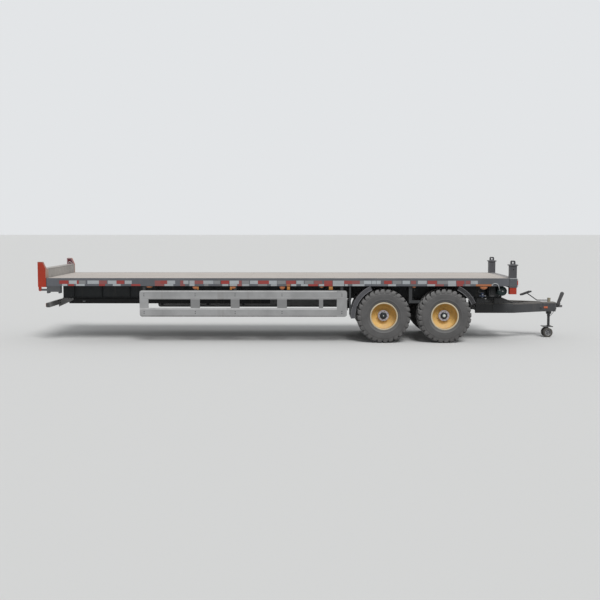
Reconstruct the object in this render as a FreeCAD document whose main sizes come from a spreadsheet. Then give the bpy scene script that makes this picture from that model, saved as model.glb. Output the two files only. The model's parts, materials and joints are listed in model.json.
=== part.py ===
import FreeCAD, Part
import math
import os
import Sketcher

# Flatbed trailer: ten metre deck on two close axles, A-frame drawbar, folding tailboard.
# Frame: +X to the drawbar, +Y to the left, +Z up, millimetres.
# Origin: on the ground, half-way between the tailboard's rear face and the tip of the
# handbrake lever, on the centreline.

Vector = FreeCAD.Vector
doc = FreeCAD.newDocument("flatbed_trailer")

DIMENSIONS = [
    # alias, value in mm (or a count), meaning
    ("overall_length", 11680, "tailboard to handbrake lever tip"),
    ("front_overhang", 1495, "handbrake lever tip ahead of the deck"),
    ("deck_width", 2500, "across the side rails"),
    ("wheel_clearance", 240, "load floor above the tyres"),
    ("board_thickness", 28, "timber floor"),
    ("floor_gap", 2, "timber floor to each side rail"),
    ("rail_height", 170, "side rail channel"),
    ("rail_flange", 60, "side rail channel"),
    ("rail_wall", 4, "side rail channel"),
    ("beam_depth", 360, "main longitudinal beams"),
    ("beam_flange", 100, "main longitudinal beams"),
    ("beam_flange_wall", 6, "main longitudinal beams"),
    ("beam_web", 4, "main longitudinal beams"),
    ("beam_gauge", 900, "main beam centre to centre"),
    ("beam_rear_inset", 150, "main beams start ahead of the deck's rear edge"),
    ("cross_height", 100, "cross member channel"),
    ("cross_flange", 45, "cross member channel"),
    ("cross_wall", 3, "cross member channel"),
    ("cross_count", 17, "cross members under the floor"),
    ("tie_size", 80, "square ties between the main beams"),
    ("tie_wall", 4, "square ties between the main beams"),
    ("tie_lift", 20, "ties above the beams' lower flange"),
    ("tail_tie_inset", 300, "rearmost tie ahead of the beams' rear end"),
    ("middle_tie_inset", 4005, "middle tie ahead of the beams' rear end"),
    ("front_tie_inset", 200, "front tie behind the deck's front edge"),
    ("duct_width", 120, "line duct under the chassis"),
    ("duct_height", 110, "line duct under the chassis"),
    ("duct_wall", 2, "line duct under the chassis"),
    ("duct_drop", 50, "top of the duct below the beams"),
    ("duct_length", 4600, "line duct under the chassis"),
    ("duct_inset", 40, "duct ahead of the beams' rear end"),
    ("duct_strap", 40, "square straps that hold the duct"),
    ("bolster_height", 200, "front bolster and corner sleeves"),
    ("bolster_wall", 10, "front bolster"),
    ("marker_thickness", 22, "striped board on the bolster"),
    ("marker_inset", 12, "board short of the deck's sides"),
    ("marker_margin", 15, "board short of the bolster's edges"),
    ("post_size", 148, "square corner post"),
    ("post_wall", 12, "square corner post"),
    ("post_rise", 280, "post above the floor"),
    ("post_foot", 145, "painted post end below the sleeve"),
    ("sleeve_wall", 9.5, "corner sleeve"),
    ("sleeve_fit", 0.5, "clearance each side of the post"),
    ("cap_overhang", 23, "flange on top of a post beyond its sides"),
    ("cap_thickness", 12, "flange on top of a post"),
    ("collar_height", 45, "tapered collar under the flange"),
    ("head_width", 92, "locking eye on top of a post"),
    ("head_height", 88, "locking eye on top of a post"),
    ("head_depth", 60, "locking eye on top of a post"),
    ("head_bore", 22, "radius of the locking eye"),
    ("post_pin_bore", 16, "radius of the post's cross hole"),
    ("post_pin_bush", 26, "outer radius of the bush round the cross hole"),
    ("post_pin_drop", 90, "cross hole below the flange"),
    ("wheel_radius", 585, "tyre outer radius"),
    ("tyre_width", 588, "tyre section width"),
    ("rim_radius", 286, "bead ledge radius"),
    ("rim_width", 508, "between the rim flanges"),
    ("rim_flange", 15, "rim flange height"),
    ("rim_wall", 12, "rim barrel and disc"),
    ("bead_fit", 0.3, "tyre bead to rim"),
    ("track", 1902, "tyre centre to tyre centre"),
    ("wheel_gap", 150, "between the front and rear tyres"),
    ("front_axle_setback", 1373, "front axle behind the deck's front edge"),
    ("axle_size", 130, "square axle beam"),
    ("axle_wall", 16, "square axle beam"),
    ("spindle_radius", 45, "stub axle"),
    ("spindle_fit", 0.1, "running clearance in the hub"),
    ("spindle_reach", 85, "stub axle beyond the tyre's middle"),
    ("hub_radius", 100, "hub barrel"),
    ("hub_flange_radius", 170, "hub flange"),
    ("hub_disc_offset", 40, "wheel disc face outside the tyre's middle"),
    ("drum_radius", 205, "brake drum"),
    ("drum_width", 170, "brake drum"),
    ("drum_wall", 14, "brake drum"),
    ("shield_gap", 6, "brake shield to drum"),
    ("shield_wall", 6, "brake shield on the axle"),
    ("spring_width", 90, "leaf spring"),
    ("spring_leaf", 16, "one spring leaf"),
    ("spring_bend", 1600, "radius of the spring leaves"),
    ("spring_pad", 24, "pad between the axle and its spring"),
    ("hanger_wall", 14, "spring hanger plates"),
    ("hanger_play", 3, "spring to each hanger plate"),
    ("guard_gap", 40, "mudguard to tyre"),
    ("guard_depth", 90, "mudguard lip, radially"),
    ("guard_sheet", 4, "mudguard sheet"),
    ("guard_inset", 8, "mudguard short of the deck's side"),
    ("side_guard_height", 571, "side guard"),
    ("side_guard_drop", 266, "side guard below the load floor"),
    ("side_guard_gap", 87, "side guard to the rear mudguard"),
    ("side_guard_setback", 2015, "side guard ahead of the deck's rear edge"),
    ("side_guard_rail", 190, "side guard rail height"),
    ("side_guard_thickness", 30, "side guard rail"),
    ("side_guard_wall", 3, "side guard sheet"),
    ("side_guard_corner", 55, "radius of the side guard's corners"),
    ("drawbar_height", 210, "drawbar leg"),
    ("drawbar_width", 100, "drawbar leg"),
    ("drawbar_wall", 12, "drawbar leg and head"),
    ("drawbar_lap", 585, "drawbar behind the deck's front edge"),
    ("drawbar_bend", 255, "where the legs turn in, ahead of the deck"),
    ("drawbar_tie", 120, "square ties between the drawbar legs"),
    ("hanger_height", 120, "main beams above the drawbar"),
    ("nose_setback", 500, "drawbar nose behind the lever's tip"),
    ("head_length", 310, "fabricated head at the drawbar nose"),
    ("head_block_width", 240, "fabricated head at the drawbar nose"),
    ("eye_reach", 115, "towing eye ahead of the head"),
    ("eye_lift", 113, "towing eye above the drawbar's underside"),
    ("eye_bore", 25, "radius of the towing eye"),
    ("eye_radius", 62, "outer radius of the towing eye"),
    ("eye_thickness", 45, "towing eye"),
    ("eye_flange", 20, "bolted flange of the towing eye"),
    ("jack_ahead", 180, "jack ahead of the drawbar nose"),
    ("jack_radius", 35, "jack outer tube"),
    ("jack_wall", 5, "jack tubes"),
    ("jack_fit", 0.5, "clearance between the jack tubes"),
    ("jack_fix", 0.3, "clearance of the outer tube in the head"),
    ("jack_rise", 90, "jack above the drawbar"),
    ("jack_hang", 122, "jack outer tube below the drawbar"),
    ("jack_lid", 12, "closed top of the jack"),
    ("jack_travel", 200, "how far the jockey wheels lift"),
    ("jack_play", 10, "inner tube to the lid with the wheels lifted"),
    ("jockey_radius", 108, "jockey wheel"),
    ("jockey_width", 90, "one jockey wheel"),
    ("jockey_gap", 60, "between the twin jockey wheels"),
    ("jockey_trail", 34, "caster trail"),
    ("jockey_axle", 10, "radius of the jockey axle"),
    ("jockey_fit", 0.1, "running clearance on the jockey axle"),
    ("crown_gap", 18, "caster crown above the jockey wheels"),
    ("crown_thickness", 14, "caster crown"),
    ("swivel_gap", 0.3, "caster crown to the plate on the jack"),
    ("tail_thickness", 175, "tailboard"),
    ("tail_gap", 10, "tailboard to deck"),
    ("tail_top_thickness", 112, "tailboard end plates at the top"),
    ("tail_drop", 195, "tailboard's lower edge below the load floor"),
    ("tail_board_rise", 202, "top of the board above the load floor"),
    ("tail_ear_rise", 350, "top of the ears above the load floor"),
    ("tail_end_width", 60, "tailboard end plates across the trailer"),
    ("tail_end_wall", 6, "sheet of the end plates"),
    ("tail_skin", 4, "tailboard sheet"),
    ("tail_pin_inset", 42, "hinge pin ahead of the rear face"),
    ("tail_pin_drop", 60, "hinge pin below the tailboard"),
    ("tail_pin_radius", 16, "hinge pin"),
    ("tail_pin_fit", 0.2, "clearance on the hinge pin"),
    ("tail_lug", 20, "hinge lug and link plates"),
    ("tail_lug_gap", 2, "hinge lug to link"),
    ("ear_bore", 22, "radius of the hole in a tailboard ear"),
    ("ear_bore_drop", 60, "hole below the top of its ear"),
    ("bar_height", 100, "underrun bar"),
    ("bar_depth", 60, "underrun bar along the trailer"),
    ("bar_wall", 3, "underrun bar"),
    ("bar_drop", 640, "underside of the bar below the load floor"),
    ("bar_setback", 15, "rear face of the bar behind the deck"),
    ("bar_inset", 50, "bar short of the deck's sides"),
    ("tank_radius", 100, "air tank"),
    ("tank_length", 560, "air tank"),
    ("bearer", 8, "flat bearers for the tank and tool box"),
]

doc.addObject("Spreadsheet::Sheet", "dims")
for row, (alias, value, meaning) in enumerate(DIMENSIONS, 1):
    doc.dims.set(f"A{row}", meaning)
    doc.dims.set(f"B{row}", str(value))
    doc.dims.setAlias(f"B{row}", alias)
doc.recompute()

ALIASES = {alias for alias, value, meaning in DIMENSIONS}


def rule(text):
    """Expression text in which every dimension's alias is read from the sheet."""
    words = []
    word = ""
    for letter in str(text) + " ":
        if letter.isalnum() or letter in "_.":
            word += letter
            continue
        words.append("dims." + word if word in ALIASES else word)
        words.append(letter)
        word = ""
    return "".join(words).strip()


# Planes and sizes that several sub-parts share, as rules on the sheet.
FRONT_TIP = "(overall_length / 2)"
REAR_FACE = "(-overall_length / 2)"
DECK_REAR = f"({REAR_FACE} + tail_thickness + tail_gap)"
DECK_FRONT = f"({FRONT_TIP} - front_overhang)"
DECK_LENGTH = f"({DECK_FRONT} - {DECK_REAR})"
HALF_WIDTH = "(deck_width / 2)"
WHEEL_Z = "wheel_radius"
DECK_TOP = "(2 * wheel_radius + wheel_clearance)"
FLOOR_BOTTOM = f"({DECK_TOP} - board_thickness)"
RAIL_BOTTOM = f"({DECK_TOP} - rail_height)"
BOLSTER_BOTTOM = f"({DECK_TOP} - bolster_height)"
BEAM_TOP = f"({FLOOR_BOTTOM} - cross_height)"
BEAM_BOTTOM = f"({BEAM_TOP} - beam_depth)"
BEAM_REAR = f"({DECK_REAR} + beam_rear_inset)"
BEAM_Y = "(beam_gauge / 2)"
CROSS_PITCH = f"(({DECK_LENGTH} - cross_flange) / (cross_count - 1))"
AXLE_SPACING = "(2 * wheel_radius + wheel_gap)"
FRONT_AXLE = f"({DECK_FRONT} - front_axle_setback)"
REAR_AXLE = f"({FRONT_AXLE} - {AXLE_SPACING})"
MID_AXLES = f"({REAR_AXLE} + {AXLE_SPACING} / 2)"
GUARD_RADIUS = "(wheel_radius + guard_gap + guard_depth)"
SLEEVE_BORE = "(post_size + 2 * sleeve_fit)"
SLEEVE_SIZE = f"({SLEEVE_BORE} + 2 * sleeve_wall)"
DRAWBAR_TOP = f"({BEAM_BOTTOM} - hanger_height)"
DRAWBAR_BOTTOM = f"({DRAWBAR_TOP} - drawbar_height)"
DRAWBAR_REAR = f"({DECK_FRONT} - drawbar_lap)"
DRAWBAR_BEND = f"({DECK_FRONT} + drawbar_bend)"
NOSE = f"({FRONT_TIP} - nose_setback)"
HEAD_FRONT = f"({NOSE} + head_length)"
EYE_X = f"({HEAD_FRONT} + eye_reach)"
EYE_Z = f"({DRAWBAR_BOTTOM} + eye_lift)"
JACK_X = f"({NOSE} + jack_ahead)"
JACK_TOP = f"({DRAWBAR_TOP} + jack_rise)"
JACK_BOTTOM = f"({DRAWBAR_BOTTOM} - jack_hang)"
CROWN_TOP = "(2 * jockey_radius + crown_gap + crown_thickness)"
TAIL_BOTTOM = f"({DECK_TOP} - tail_drop)"
BOARD_HEIGHT = "(tail_drop + tail_board_rise)"
TAIL_PIN_X = f"({REAR_FACE} + tail_pin_inset)"
TAIL_PIN_Z = f"({TAIL_BOTTOM} - tail_pin_drop)"
BAR_X = f"({DECK_REAR} - bar_setback)"
BAR_BOTTOM = f"({DECK_TOP} - bar_drop)"

AXLES = {"rear": REAR_AXLE, "front": FRONT_AXLE}
SIDES = {"left": 1, "right": -1}


# ---------------------------------------------------------------- makers

def place(thing, at):
    """Bind the position of a thing to three rules."""
    for axis, text in zip("xyz", at):
        thing.setExpression(".Placement.Base." + axis, rule(text))
    return thing


def block(name, size, corner):
    """Box of size (x, y, z) with its lowest corner at corner."""
    box = doc.addObject("Part::Box", name)
    for side, text in zip(("Length", "Width", "Height"), size):
        box.setExpression(side, rule(text))
    return place(box, corner)


ALONG = {
    "x": FreeCAD.Rotation(Vector(0, 1, 0), 90),
    "y": FreeCAD.Rotation(Vector(1, 0, 0), -90),
    "z": FreeCAD.Rotation(),
}


def rod(name, radius, length, start, along):
    """Round bar from start, running in the positive direction of an axis."""
    bar = doc.addObject("Part::Cylinder", name)
    bar.setExpression("Radius", rule(radius))
    bar.setExpression("Height", rule(length))
    bar.Placement = FreeCAD.Placement(Vector(), ALONG[along])
    return place(bar, start)


def cut(name, base, tool):
    made = doc.addObject("Part::Cut", name)
    made.Base = base
    made.Tool = tool
    return made


def common(name, base, tool):
    made = doc.addObject("Part::Common", name)
    made.Base = base
    made.Tool = tool
    return made


def fuse(name, members):
    made = doc.addObject("Part::MultiFuse", name)
    made.Shapes = members
    made.Refine = True
    return made


def group(name, members):
    """Several like pieces of one sub-part that don't touch each other."""
    made = doc.addObject("Part::Compound", name)
    made.Links = members
    return made


def mirrored(source):
    """The same piece on the other side of the trailer."""
    made = doc.addObject("Part::Mirroring", source.Name + "_mirror")
    made.Source = source
    made.Normal = Vector(0, 1, 0)
    return made


def both_sides(name, sources):
    """One sub-part from left-hand pieces and their mirror images."""
    return group(name, sources + [mirrored(source) for source in sources])


def sketch_on(body, plane, name, outlines):
    """Sketch of closed polygons; every corner is held by two rules from the origin."""
    sketch = body.newObject("Sketcher::SketchObject", name)
    origin_plane = [item for item in body.Origin.OriginFeatures if item.Role == plane][0]
    sketch.AttachmentSupport = (origin_plane, "")
    sketch.MapMode = "FlatFace"
    first = 0
    for outline in outlines:
        count = len(outline)
        turn = 2 * math.pi / count
        ring = [Vector(math.cos(turn * i), math.sin(turn * i), 0) for i in range(count)]
        for i in range(count):
            sketch.addGeometry(Part.LineSegment(ring[i], ring[(i + 1) % count]), False)
        for i in range(count):
            here = first + i
            following = first + (i + 1) % count
            sketch.addConstraint(Sketcher.Constraint("Coincident", here, 2, following, 1))
        for i, corner in enumerate(outline):
            for kind, text in zip(("DistanceX", "DistanceY"), corner):
                index = sketch.addConstraint(
                    Sketcher.Constraint(kind, -1, 1, first + i, 1, 1.0))
                sketch.setExpression(f"Constraints[{index}]", rule(text))
        first += count
    return sketch


def padded(name, plane, outline, length, at, centred=False):
    """Body padded from a closed outline on one of its origin planes."""
    body = doc.addObject("PartDesign::Body", name)
    sketch = sketch_on(body, plane, name + "_outline", [outline])
    pad = body.newObject("PartDesign::Pad", name + "_pad")
    pad.Profile = sketch
    pad.setExpression("Length", rule(length))
    if centred:
        pad.SideType = "Symmetric"
    sketch.Visibility = False
    return place(body, at)


def turned(name, outline, at):
    """Body turned from a (y, radius) outline about its own Y axis."""
    body = doc.addObject("PartDesign::Body", name)
    sketch = sketch_on(body, "YZ_Plane", name + "_outline", [outline])
    turn = body.newObject("PartDesign::Revolution", name + "_turn")
    turn.Profile = sketch
    turn.ReferenceAxis = (sketch, ["H_Axis"])
    turn.Angle = 360
    sketch.Visibility = False
    return place(body, at)


def channel(depth, flange, wall, facing=1):
    """C-section outline: web on the V axis, flanges reaching to +u (facing=1) or -u."""
    points = [("0", "0"), (flange, "0"), (flange, wall), (wall, wall),
              (wall, f"{depth} - {wall}"), (flange, f"{depth} - {wall}"),
              (flange, depth), ("0", depth)]
    return [(f"{facing} * ({u})", v) for u, v in points]


def tube_across(name, size, wall, length, at):
    """Square hollow section across the trailer, open at both ends, from its middle line."""
    bore = f"({size} - 2 * {wall})"
    x, y, z = at
    outer = block(name + "_outer", (size, length, size),
                  (f"{x} - {size} / 2", y, f"{z} - {size} / 2"))
    inner = block(name + "_bore", (bore, length, bore),
                  (f"{x} - {bore} / 2", y, f"{z} - {bore} / 2"))
    return cut(name, outer, inner)


def round_cornered(name, size, radius, corner):
    """Upright plate along the trailer with four rounded corners."""
    length, thickness, height = size
    x, y, z = corner
    pieces = [
        block(name + "_long", (length, thickness, f"{height} - 2 * {radius}"),
              (x, y, f"{z} + {radius}")),
        block(name + "_tall", (f"{length} - 2 * {radius}", thickness, height),
              (f"{x} + {radius}", y, z)),
    ]
    ends = {"rear": f"{x} + {radius}", "front": f"{x} + {length} - {radius}"}
    levels = {"low": f"{z} + {radius}", "high": f"{z} + {height} - {radius}"}
    for end, end_x in ends.items():
        for level, level_z in levels.items():
            pieces.append(rod(f"{name}_{end}_{level}", radius, thickness,
                              (end_x, y, level_z), "y"))
    return fuse(name, pieces)


def ring_sector(name, outer, wall, width, at, start, turn):
    """Curved sheet about a Y axis, from angle start (degrees above +X) back through turn."""
    pair = []
    for part, size in (("outer", outer), ("inner", f"({outer} - {wall})")):
        disc = doc.addObject("Part::Cylinder", f"{name}_{part}")
        disc.setExpression("Radius", rule(size))
        disc.setExpression("Height", rule(width))
        disc.Angle = turn
        laid_back = FreeCAD.Rotation(Vector(0, 1, 0), -start)
        # A cylinder stood along +Y sweeps from +X towards -Z, so its sector is laid back.
        disc.Placement = FreeCAD.Placement(Vector(), laid_back.multiply(ALONG["y"]))
        place(disc, at)
        pair.append(disc)
    return cut(name, pair[0], pair[1])


# ---------------------------------------------------------------- deck and chassis

def main_beams():
    half = "beam_flange / 2"
    web = "beam_web / 2"
    under = "beam_depth - beam_flange_wall"
    outline = [(f"-{half}", "0"), (half, "0"), (half, "beam_flange_wall"),
               (web, "beam_flange_wall"), (web, under), (half, under), (half, "beam_depth"),
               (f"-{half}", "beam_depth"), (f"-{half}", under), (f"-{web}", under),
               (f"-{web}", "beam_flange_wall"), (f"-{half}", "beam_flange_wall")]
    beam = padded("main_beam", "YZ_Plane", outline, f"{DECK_LENGTH} - beam_rear_inset",
                  (BEAM_REAR, BEAM_Y, BEAM_BOTTOM))
    return both_sides("main_beams", [beam])


def cross_members():
    """Channels across the trailer, evenly spaced from the tail to the bolster."""
    length = f"2 * ({HALF_WIDTH} - rail_wall)"
    outline = channel("cross_height", "cross_flange", "cross_wall")
    made = []
    for number in range(int(doc.dims.get("cross_count"))):
        made.append(padded(f"cross_member_{number}", "XZ_Plane", outline, length,
                           (f"{DECK_REAR} + {number} * {CROSS_PITCH}", 0, BEAM_TOP),
                           centred=True))
    return group("cross_members", made)


def side_rails():
    outline = channel("rail_height", "rail_flange", "rail_wall", facing=-1)
    rail = padded("side_rail", "YZ_Plane", outline, DECK_LENGTH,
                  (DECK_REAR, HALF_WIDTH, RAIL_BOTTOM))
    return both_sides("side_rails", [rail])


def deck_floor():
    half = f"({HALF_WIDTH} - rail_flange - floor_gap)"
    return block("deck_floor", (DECK_LENGTH, f"2 * {half}", "board_thickness"),
                 (DECK_REAR, f"-{half}", FLOOR_BOTTOM))


TIE_BOTTOM = f"({BEAM_BOTTOM} + beam_flange_wall + tie_lift)"
TAIL_TIE = f"({BEAM_REAR} + tail_tie_inset)"
MIDDLE_TIE = f"({BEAM_REAR} + middle_tie_inset)"


def chassis_ties():
    """Square ties between the main beams: at the tail, at the hangers and at the front."""
    ties = {"tail": TAIL_TIE, "middle": MIDDLE_TIE,
            "rear_hanger": f"{REAR_AXLE} - {AXLE_SPACING} / 2",
            "front_hanger": f"{FRONT_AXLE} + {AXLE_SPACING} / 2",
            "front": f"{DECK_FRONT} - front_tie_inset"}
    inner = f"({BEAM_Y} - beam_web / 2)"
    made = []
    for name, x in ties.items():
        made.append(tube_across("tie_" + name, "tie_size", "tie_wall", f"2 * {inner}",
                                (x, f"-{inner}", f"{TIE_BOTTOM} + tie_size / 2")))
    return group("chassis_ties", made)


def line_duct():
    """Folded duct for the air and lamp lines, hung under the ties on the centreline."""
    start = f"({BEAM_REAR} + duct_inset)"
    top = f"({BEAM_BOTTOM} - duct_drop)"
    bottom = f"({top} - duct_height)"
    outer = block("duct_outer", ("duct_length", "duct_width", "duct_height"),
                  (start, "-duct_width / 2", bottom))
    inner = block("duct_bore",
                  ("duct_length", "duct_width - 2 * duct_wall", "duct_height - 2 * duct_wall"),
                  (start, "-duct_width / 2 + duct_wall", f"{bottom} + duct_wall"))
    pieces = [cut("duct_tube", outer, inner)]
    for name, x in {"tail": TAIL_TIE, "middle": MIDDLE_TIE}.items():
        pieces.append(block("duct_strap_" + name,
                            ("duct_strap", "duct_strap", f"{TIE_BOTTOM} - {top}"),
                            (f"{x} - duct_strap / 2", "-duct_strap / 2", top)))
    return fuse("line_duct", pieces)


def front_bolster():
    """Box section across the front between the corner sleeves."""
    half = f"({HALF_WIDTH} - {SLEEVE_SIZE})"
    outer = block("bolster_outer", (SLEEVE_SIZE, f"2 * {half}", "bolster_height"),
                  (DECK_FRONT, f"-{half}", BOLSTER_BOTTOM))
    inner = block("bolster_bore",
                  (f"{SLEEVE_SIZE} - 2 * bolster_wall", f"2 * {half}",
                   "bolster_height - 2 * bolster_wall"),
                  (f"{DECK_FRONT} + bolster_wall", f"-{half}",
                   f"{BOLSTER_BOTTOM} + bolster_wall"))
    return cut("front_bolster", outer, inner)


def corner_sleeves():
    """Square sleeves at the front corners in which the posts slide."""
    outer = block("sleeve_outer", (SLEEVE_SIZE, SLEEVE_SIZE, "bolster_height"),
                  (DECK_FRONT, f"{HALF_WIDTH} - {SLEEVE_SIZE}", BOLSTER_BOTTOM))
    inner = block("sleeve_bore", (SLEEVE_BORE, SLEEVE_BORE, "bolster_height"),
                  (f"{DECK_FRONT} + sleeve_wall", f"{HALF_WIDTH} - sleeve_wall - {SLEEVE_BORE}",
                   BOLSTER_BOTTOM))
    return both_sides("corner_sleeves", [cut("corner_sleeve", outer, inner)])


def front_board():
    """Striped marker board on the front face of the bolster and sleeves."""
    return block("front_board",
                 ("marker_thickness", "deck_width - 2 * marker_inset",
                  "bolster_height - 2 * marker_margin"),
                 (f"{DECK_FRONT} + {SLEEVE_SIZE}", f"-{HALF_WIDTH} + marker_inset",
                  f"{BOLSTER_BOTTOM} + marker_margin"))


# ---------------------------------------------------------------- corner posts

def post_corner(side):
    """Lowest x and y of the post in its sleeve."""
    near = f"({HALF_WIDTH} - sleeve_wall - sleeve_fit)"
    y = f"({near} - post_size)" if side == "left" else f"(-{near})"
    return f"({DECK_FRONT} + sleeve_wall + sleeve_fit)", y


def post_tube(name, side, bottom, height, floor):
    """Square tube of the post, with a closed end of the given thickness below."""
    x, y = post_corner(side)
    bore = "post_size - 2 * post_wall"
    outer = block(name + "_outer", ("post_size", "post_size", height), (x, y, bottom))
    inner = block(name + "_bore", (bore, bore, f"{height} - {floor}"),
                  (f"{x} + post_wall", f"{y} + post_wall", f"{bottom} + {floor}"))
    return outer, inner


def corner_post(side):
    """Square tube with a bushed cross hole, a tapered collar, a flange and a locking eye."""
    name = f"corner_post_{side}"
    x, y = post_corner(side)
    middle_x = f"({x} + post_size / 2)"
    middle_y = f"({y} + post_size / 2)"
    cap_bottom = f"({DECK_TOP} + post_rise)"
    cap_size = "(post_size + 2 * cap_overhang)"
    outer, inner = post_tube(name, side, BOLSTER_BOTTOM, "(bolster_height + post_rise)", 0)
    cap = block(name + "_cap", (cap_size, cap_size, "cap_thickness"),
                (f"{middle_x} - {cap_size} / 2", f"{middle_y} - {cap_size} / 2", cap_bottom))
    collar = doc.addObject("Part::Cone", name + "_collar")
    collar.setExpression("Radius1", rule("post_size / 2"))
    collar.setExpression("Radius2", rule("post_size / 2 + cap_overhang"))
    collar.setExpression("Height", rule("collar_height"))
    place(collar, (middle_x, middle_y, f"{cap_bottom} - collar_height"))
    eye_bottom = f"({cap_bottom} + cap_thickness)"
    eye_start = f"({middle_y} - head_depth / 2)"
    arch = "(head_width / 2)"
    arch_z = f"({eye_bottom} + head_height - {arch})"
    eye = fuse(name + "_eye", [
        block(name + "_eye_block", ("head_width", "head_depth", f"head_height - {arch}"),
              (f"{middle_x} - {arch}", eye_start, eye_bottom)),
        rod(name + "_eye_arch", arch, "head_depth", (middle_x, eye_start, arch_z), "y"),
    ])
    eye_hole = rod(name + "_eye_bore", "head_bore", "head_depth",
                   (middle_x, eye_start, arch_z), "y")
    pin_z = f"({cap_bottom} - post_pin_drop)"
    bush = rod(name + "_bush", "post_pin_bush", "post_size", (middle_x, y, pin_z), "y")
    pin_hole = rod(name + "_pin_bore", "post_pin_bore", "post_size", (middle_x, y, pin_z), "y")
    shell = cut(name + "_shell", fuse(name + "_body", [outer, collar]), inner)
    solid = fuse(name + "_solid", [shell, cap, eye, bush])
    return cut(name, solid, fuse(name + "_holes", [eye_hole, pin_hole]))


def post_foot(side):
    """Painted lower end of a post, showing below its sleeve."""
    name = f"post_foot_{side}"
    bottom = f"({BOLSTER_BOTTOM} - post_foot)"
    outer, inner = post_tube(name, side, bottom, "post_foot", "post_wall")
    return cut(name, outer, inner)


# ---------------------------------------------------------------- tailboard

def tailboard_panel():
    """Hollow board between the end plates; its inner face stands upright."""
    half = f"({HALF_WIDTH} - tail_end_width)"
    outer = block("board_outer", ("tail_thickness", f"2 * {half}", BOARD_HEIGHT),
                  (REAR_FACE, f"-{half}", TAIL_BOTTOM))
    inner = block("board_bore",
                  ("tail_thickness - 2 * tail_skin", f"2 * {half}",
                   f"{BOARD_HEIGHT} - 2 * tail_skin"),
                  (f"{REAR_FACE} + tail_skin", f"-{half}", f"{TAIL_BOTTOM} + tail_skin"))
    return cut("tailboard_panel", outer, inner)


def tailboard_ends():
    """End plates with their ears, lashing holes and hinge lugs."""
    rise = "(tail_drop + tail_ear_rise)"
    outline = [("0", "0"), ("tail_thickness", "0"), ("tail_thickness", BOARD_HEIGHT),
               ("tail_top_thickness", rise), ("0", rise)]
    plate = padded("end_plate", "XZ_Plane", outline, "tail_end_width",
                   (REAR_FACE, HALF_WIDTH, TAIL_BOTTOM))
    inner_y = f"({HALF_WIDTH} - tail_end_width)"
    hollow = block("end_hollow",
                   ("tail_thickness - 2 * tail_end_wall", "tail_end_width - 2 * tail_end_wall",
                    f"{BOARD_HEIGHT} - 2 * tail_end_wall"),
                   (f"{REAR_FACE} + tail_end_wall", f"{inner_y} + tail_end_wall",
                    f"{TAIL_BOTTOM} + tail_end_wall"))
    ear_hole = rod("ear_hole", "ear_bore", "tail_end_width",
                   (f"{REAR_FACE} + tail_top_thickness / 2", inner_y,
                    f"{TAIL_BOTTOM} + {rise} - ear_bore_drop"), "y")
    lug_y = f"({HALF_WIDTH} - tail_lug)"
    lug_radius = 30
    lug = block("hinge_lug", (2 * lug_radius, "tail_lug", "tail_pin_drop"),
                (f"{TAIL_PIN_X} - {lug_radius}", lug_y, TAIL_PIN_Z))
    boss = rod("hinge_boss", lug_radius, "tail_lug", (TAIL_PIN_X, lug_y, TAIL_PIN_Z), "y")
    bore = rod("hinge_bore", "tail_pin_radius + tail_pin_fit", "tail_lug",
               (TAIL_PIN_X, lug_y, TAIL_PIN_Z), "y")
    solid = fuse("tailboard_end_solid", [plate, lug, boss])
    holes = fuse("tailboard_end_holes", [hollow, ear_hole, bore])
    return both_sides("tailboard_ends", [cut("tailboard_end", solid, holes)])


def hinge_brackets():
    """Notched brackets under the rear corners, with a link and pin for the tailboard."""
    length, depth, width, plate = 300, 160, 110, 8
    notch, leg = 95, 50
    side_inset, end_inset = 2, 5
    start = f"({DECK_REAR} + {end_inset})"
    outer_y = f"({HALF_WIDTH} - {side_inset})"
    inner_y = f"({outer_y} - {width})"
    outline = [("0", "0"), ("0", -depth), (leg, -depth), (leg, -notch),
               (length - leg, -notch), (length - leg, -depth), (length, -depth),
               (length, "0")]
    pieces = [padded(f"bracket_cheek_{name}", "XZ_Plane", outline, plate,
                     (start, y, RAIL_BOTTOM))
              for name, y in (("outer", outer_y), ("inner", f"{inner_y} + {plate}"))]
    pieces.append(block("bracket_crown", (length, width, plate),
                        (start, inner_y, f"{RAIL_BOTTOM} - {plate}")))
    pieces.append(block("bracket_end", (plate, width, depth),
                        (start, inner_y, f"{RAIL_BOTTOM} - {depth}")))
    link_radius = "(tail_pin_radius + 6)"
    link_y = f"({HALF_WIDTH} - 2 * tail_lug - tail_lug_gap)"
    pin_short = 1
    pieces.append(block("hinge_link", (f"{start} - {TAIL_PIN_X}", "tail_lug",
                                       f"2 * {link_radius}"),
                        (TAIL_PIN_X, link_y, f"{TAIL_PIN_Z} - {link_radius}")))
    pieces.append(rod("link_boss", link_radius, "tail_lug",
                      (TAIL_PIN_X, link_y, TAIL_PIN_Z), "y"))
    pieces.append(rod("hinge_pin", "tail_pin_radius",
                      f"2 * tail_lug + tail_lug_gap - {pin_short}",
                      (TAIL_PIN_X, link_y, TAIL_PIN_Z), "y"))
    return both_sides("hinge_brackets", [fuse("hinge_bracket", pieces)])


def underrun_bar():
    """Hollow bar across the tail."""
    length = "deck_width - 2 * bar_inset"
    y = f"-{HALF_WIDTH} + bar_inset"
    shell = block("underrun_shell", ("bar_depth", length, "bar_height"), (BAR_X, y, BAR_BOTTOM))
    hollow = block("underrun_hollow",
                   ("bar_depth - 2 * bar_wall", length, "bar_height - 2 * bar_wall"),
                   (f"{BAR_X} + bar_wall", y, f"{BAR_BOTTOM} + bar_wall"))
    return cut("underrun_bar", shell, hollow)


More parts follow.
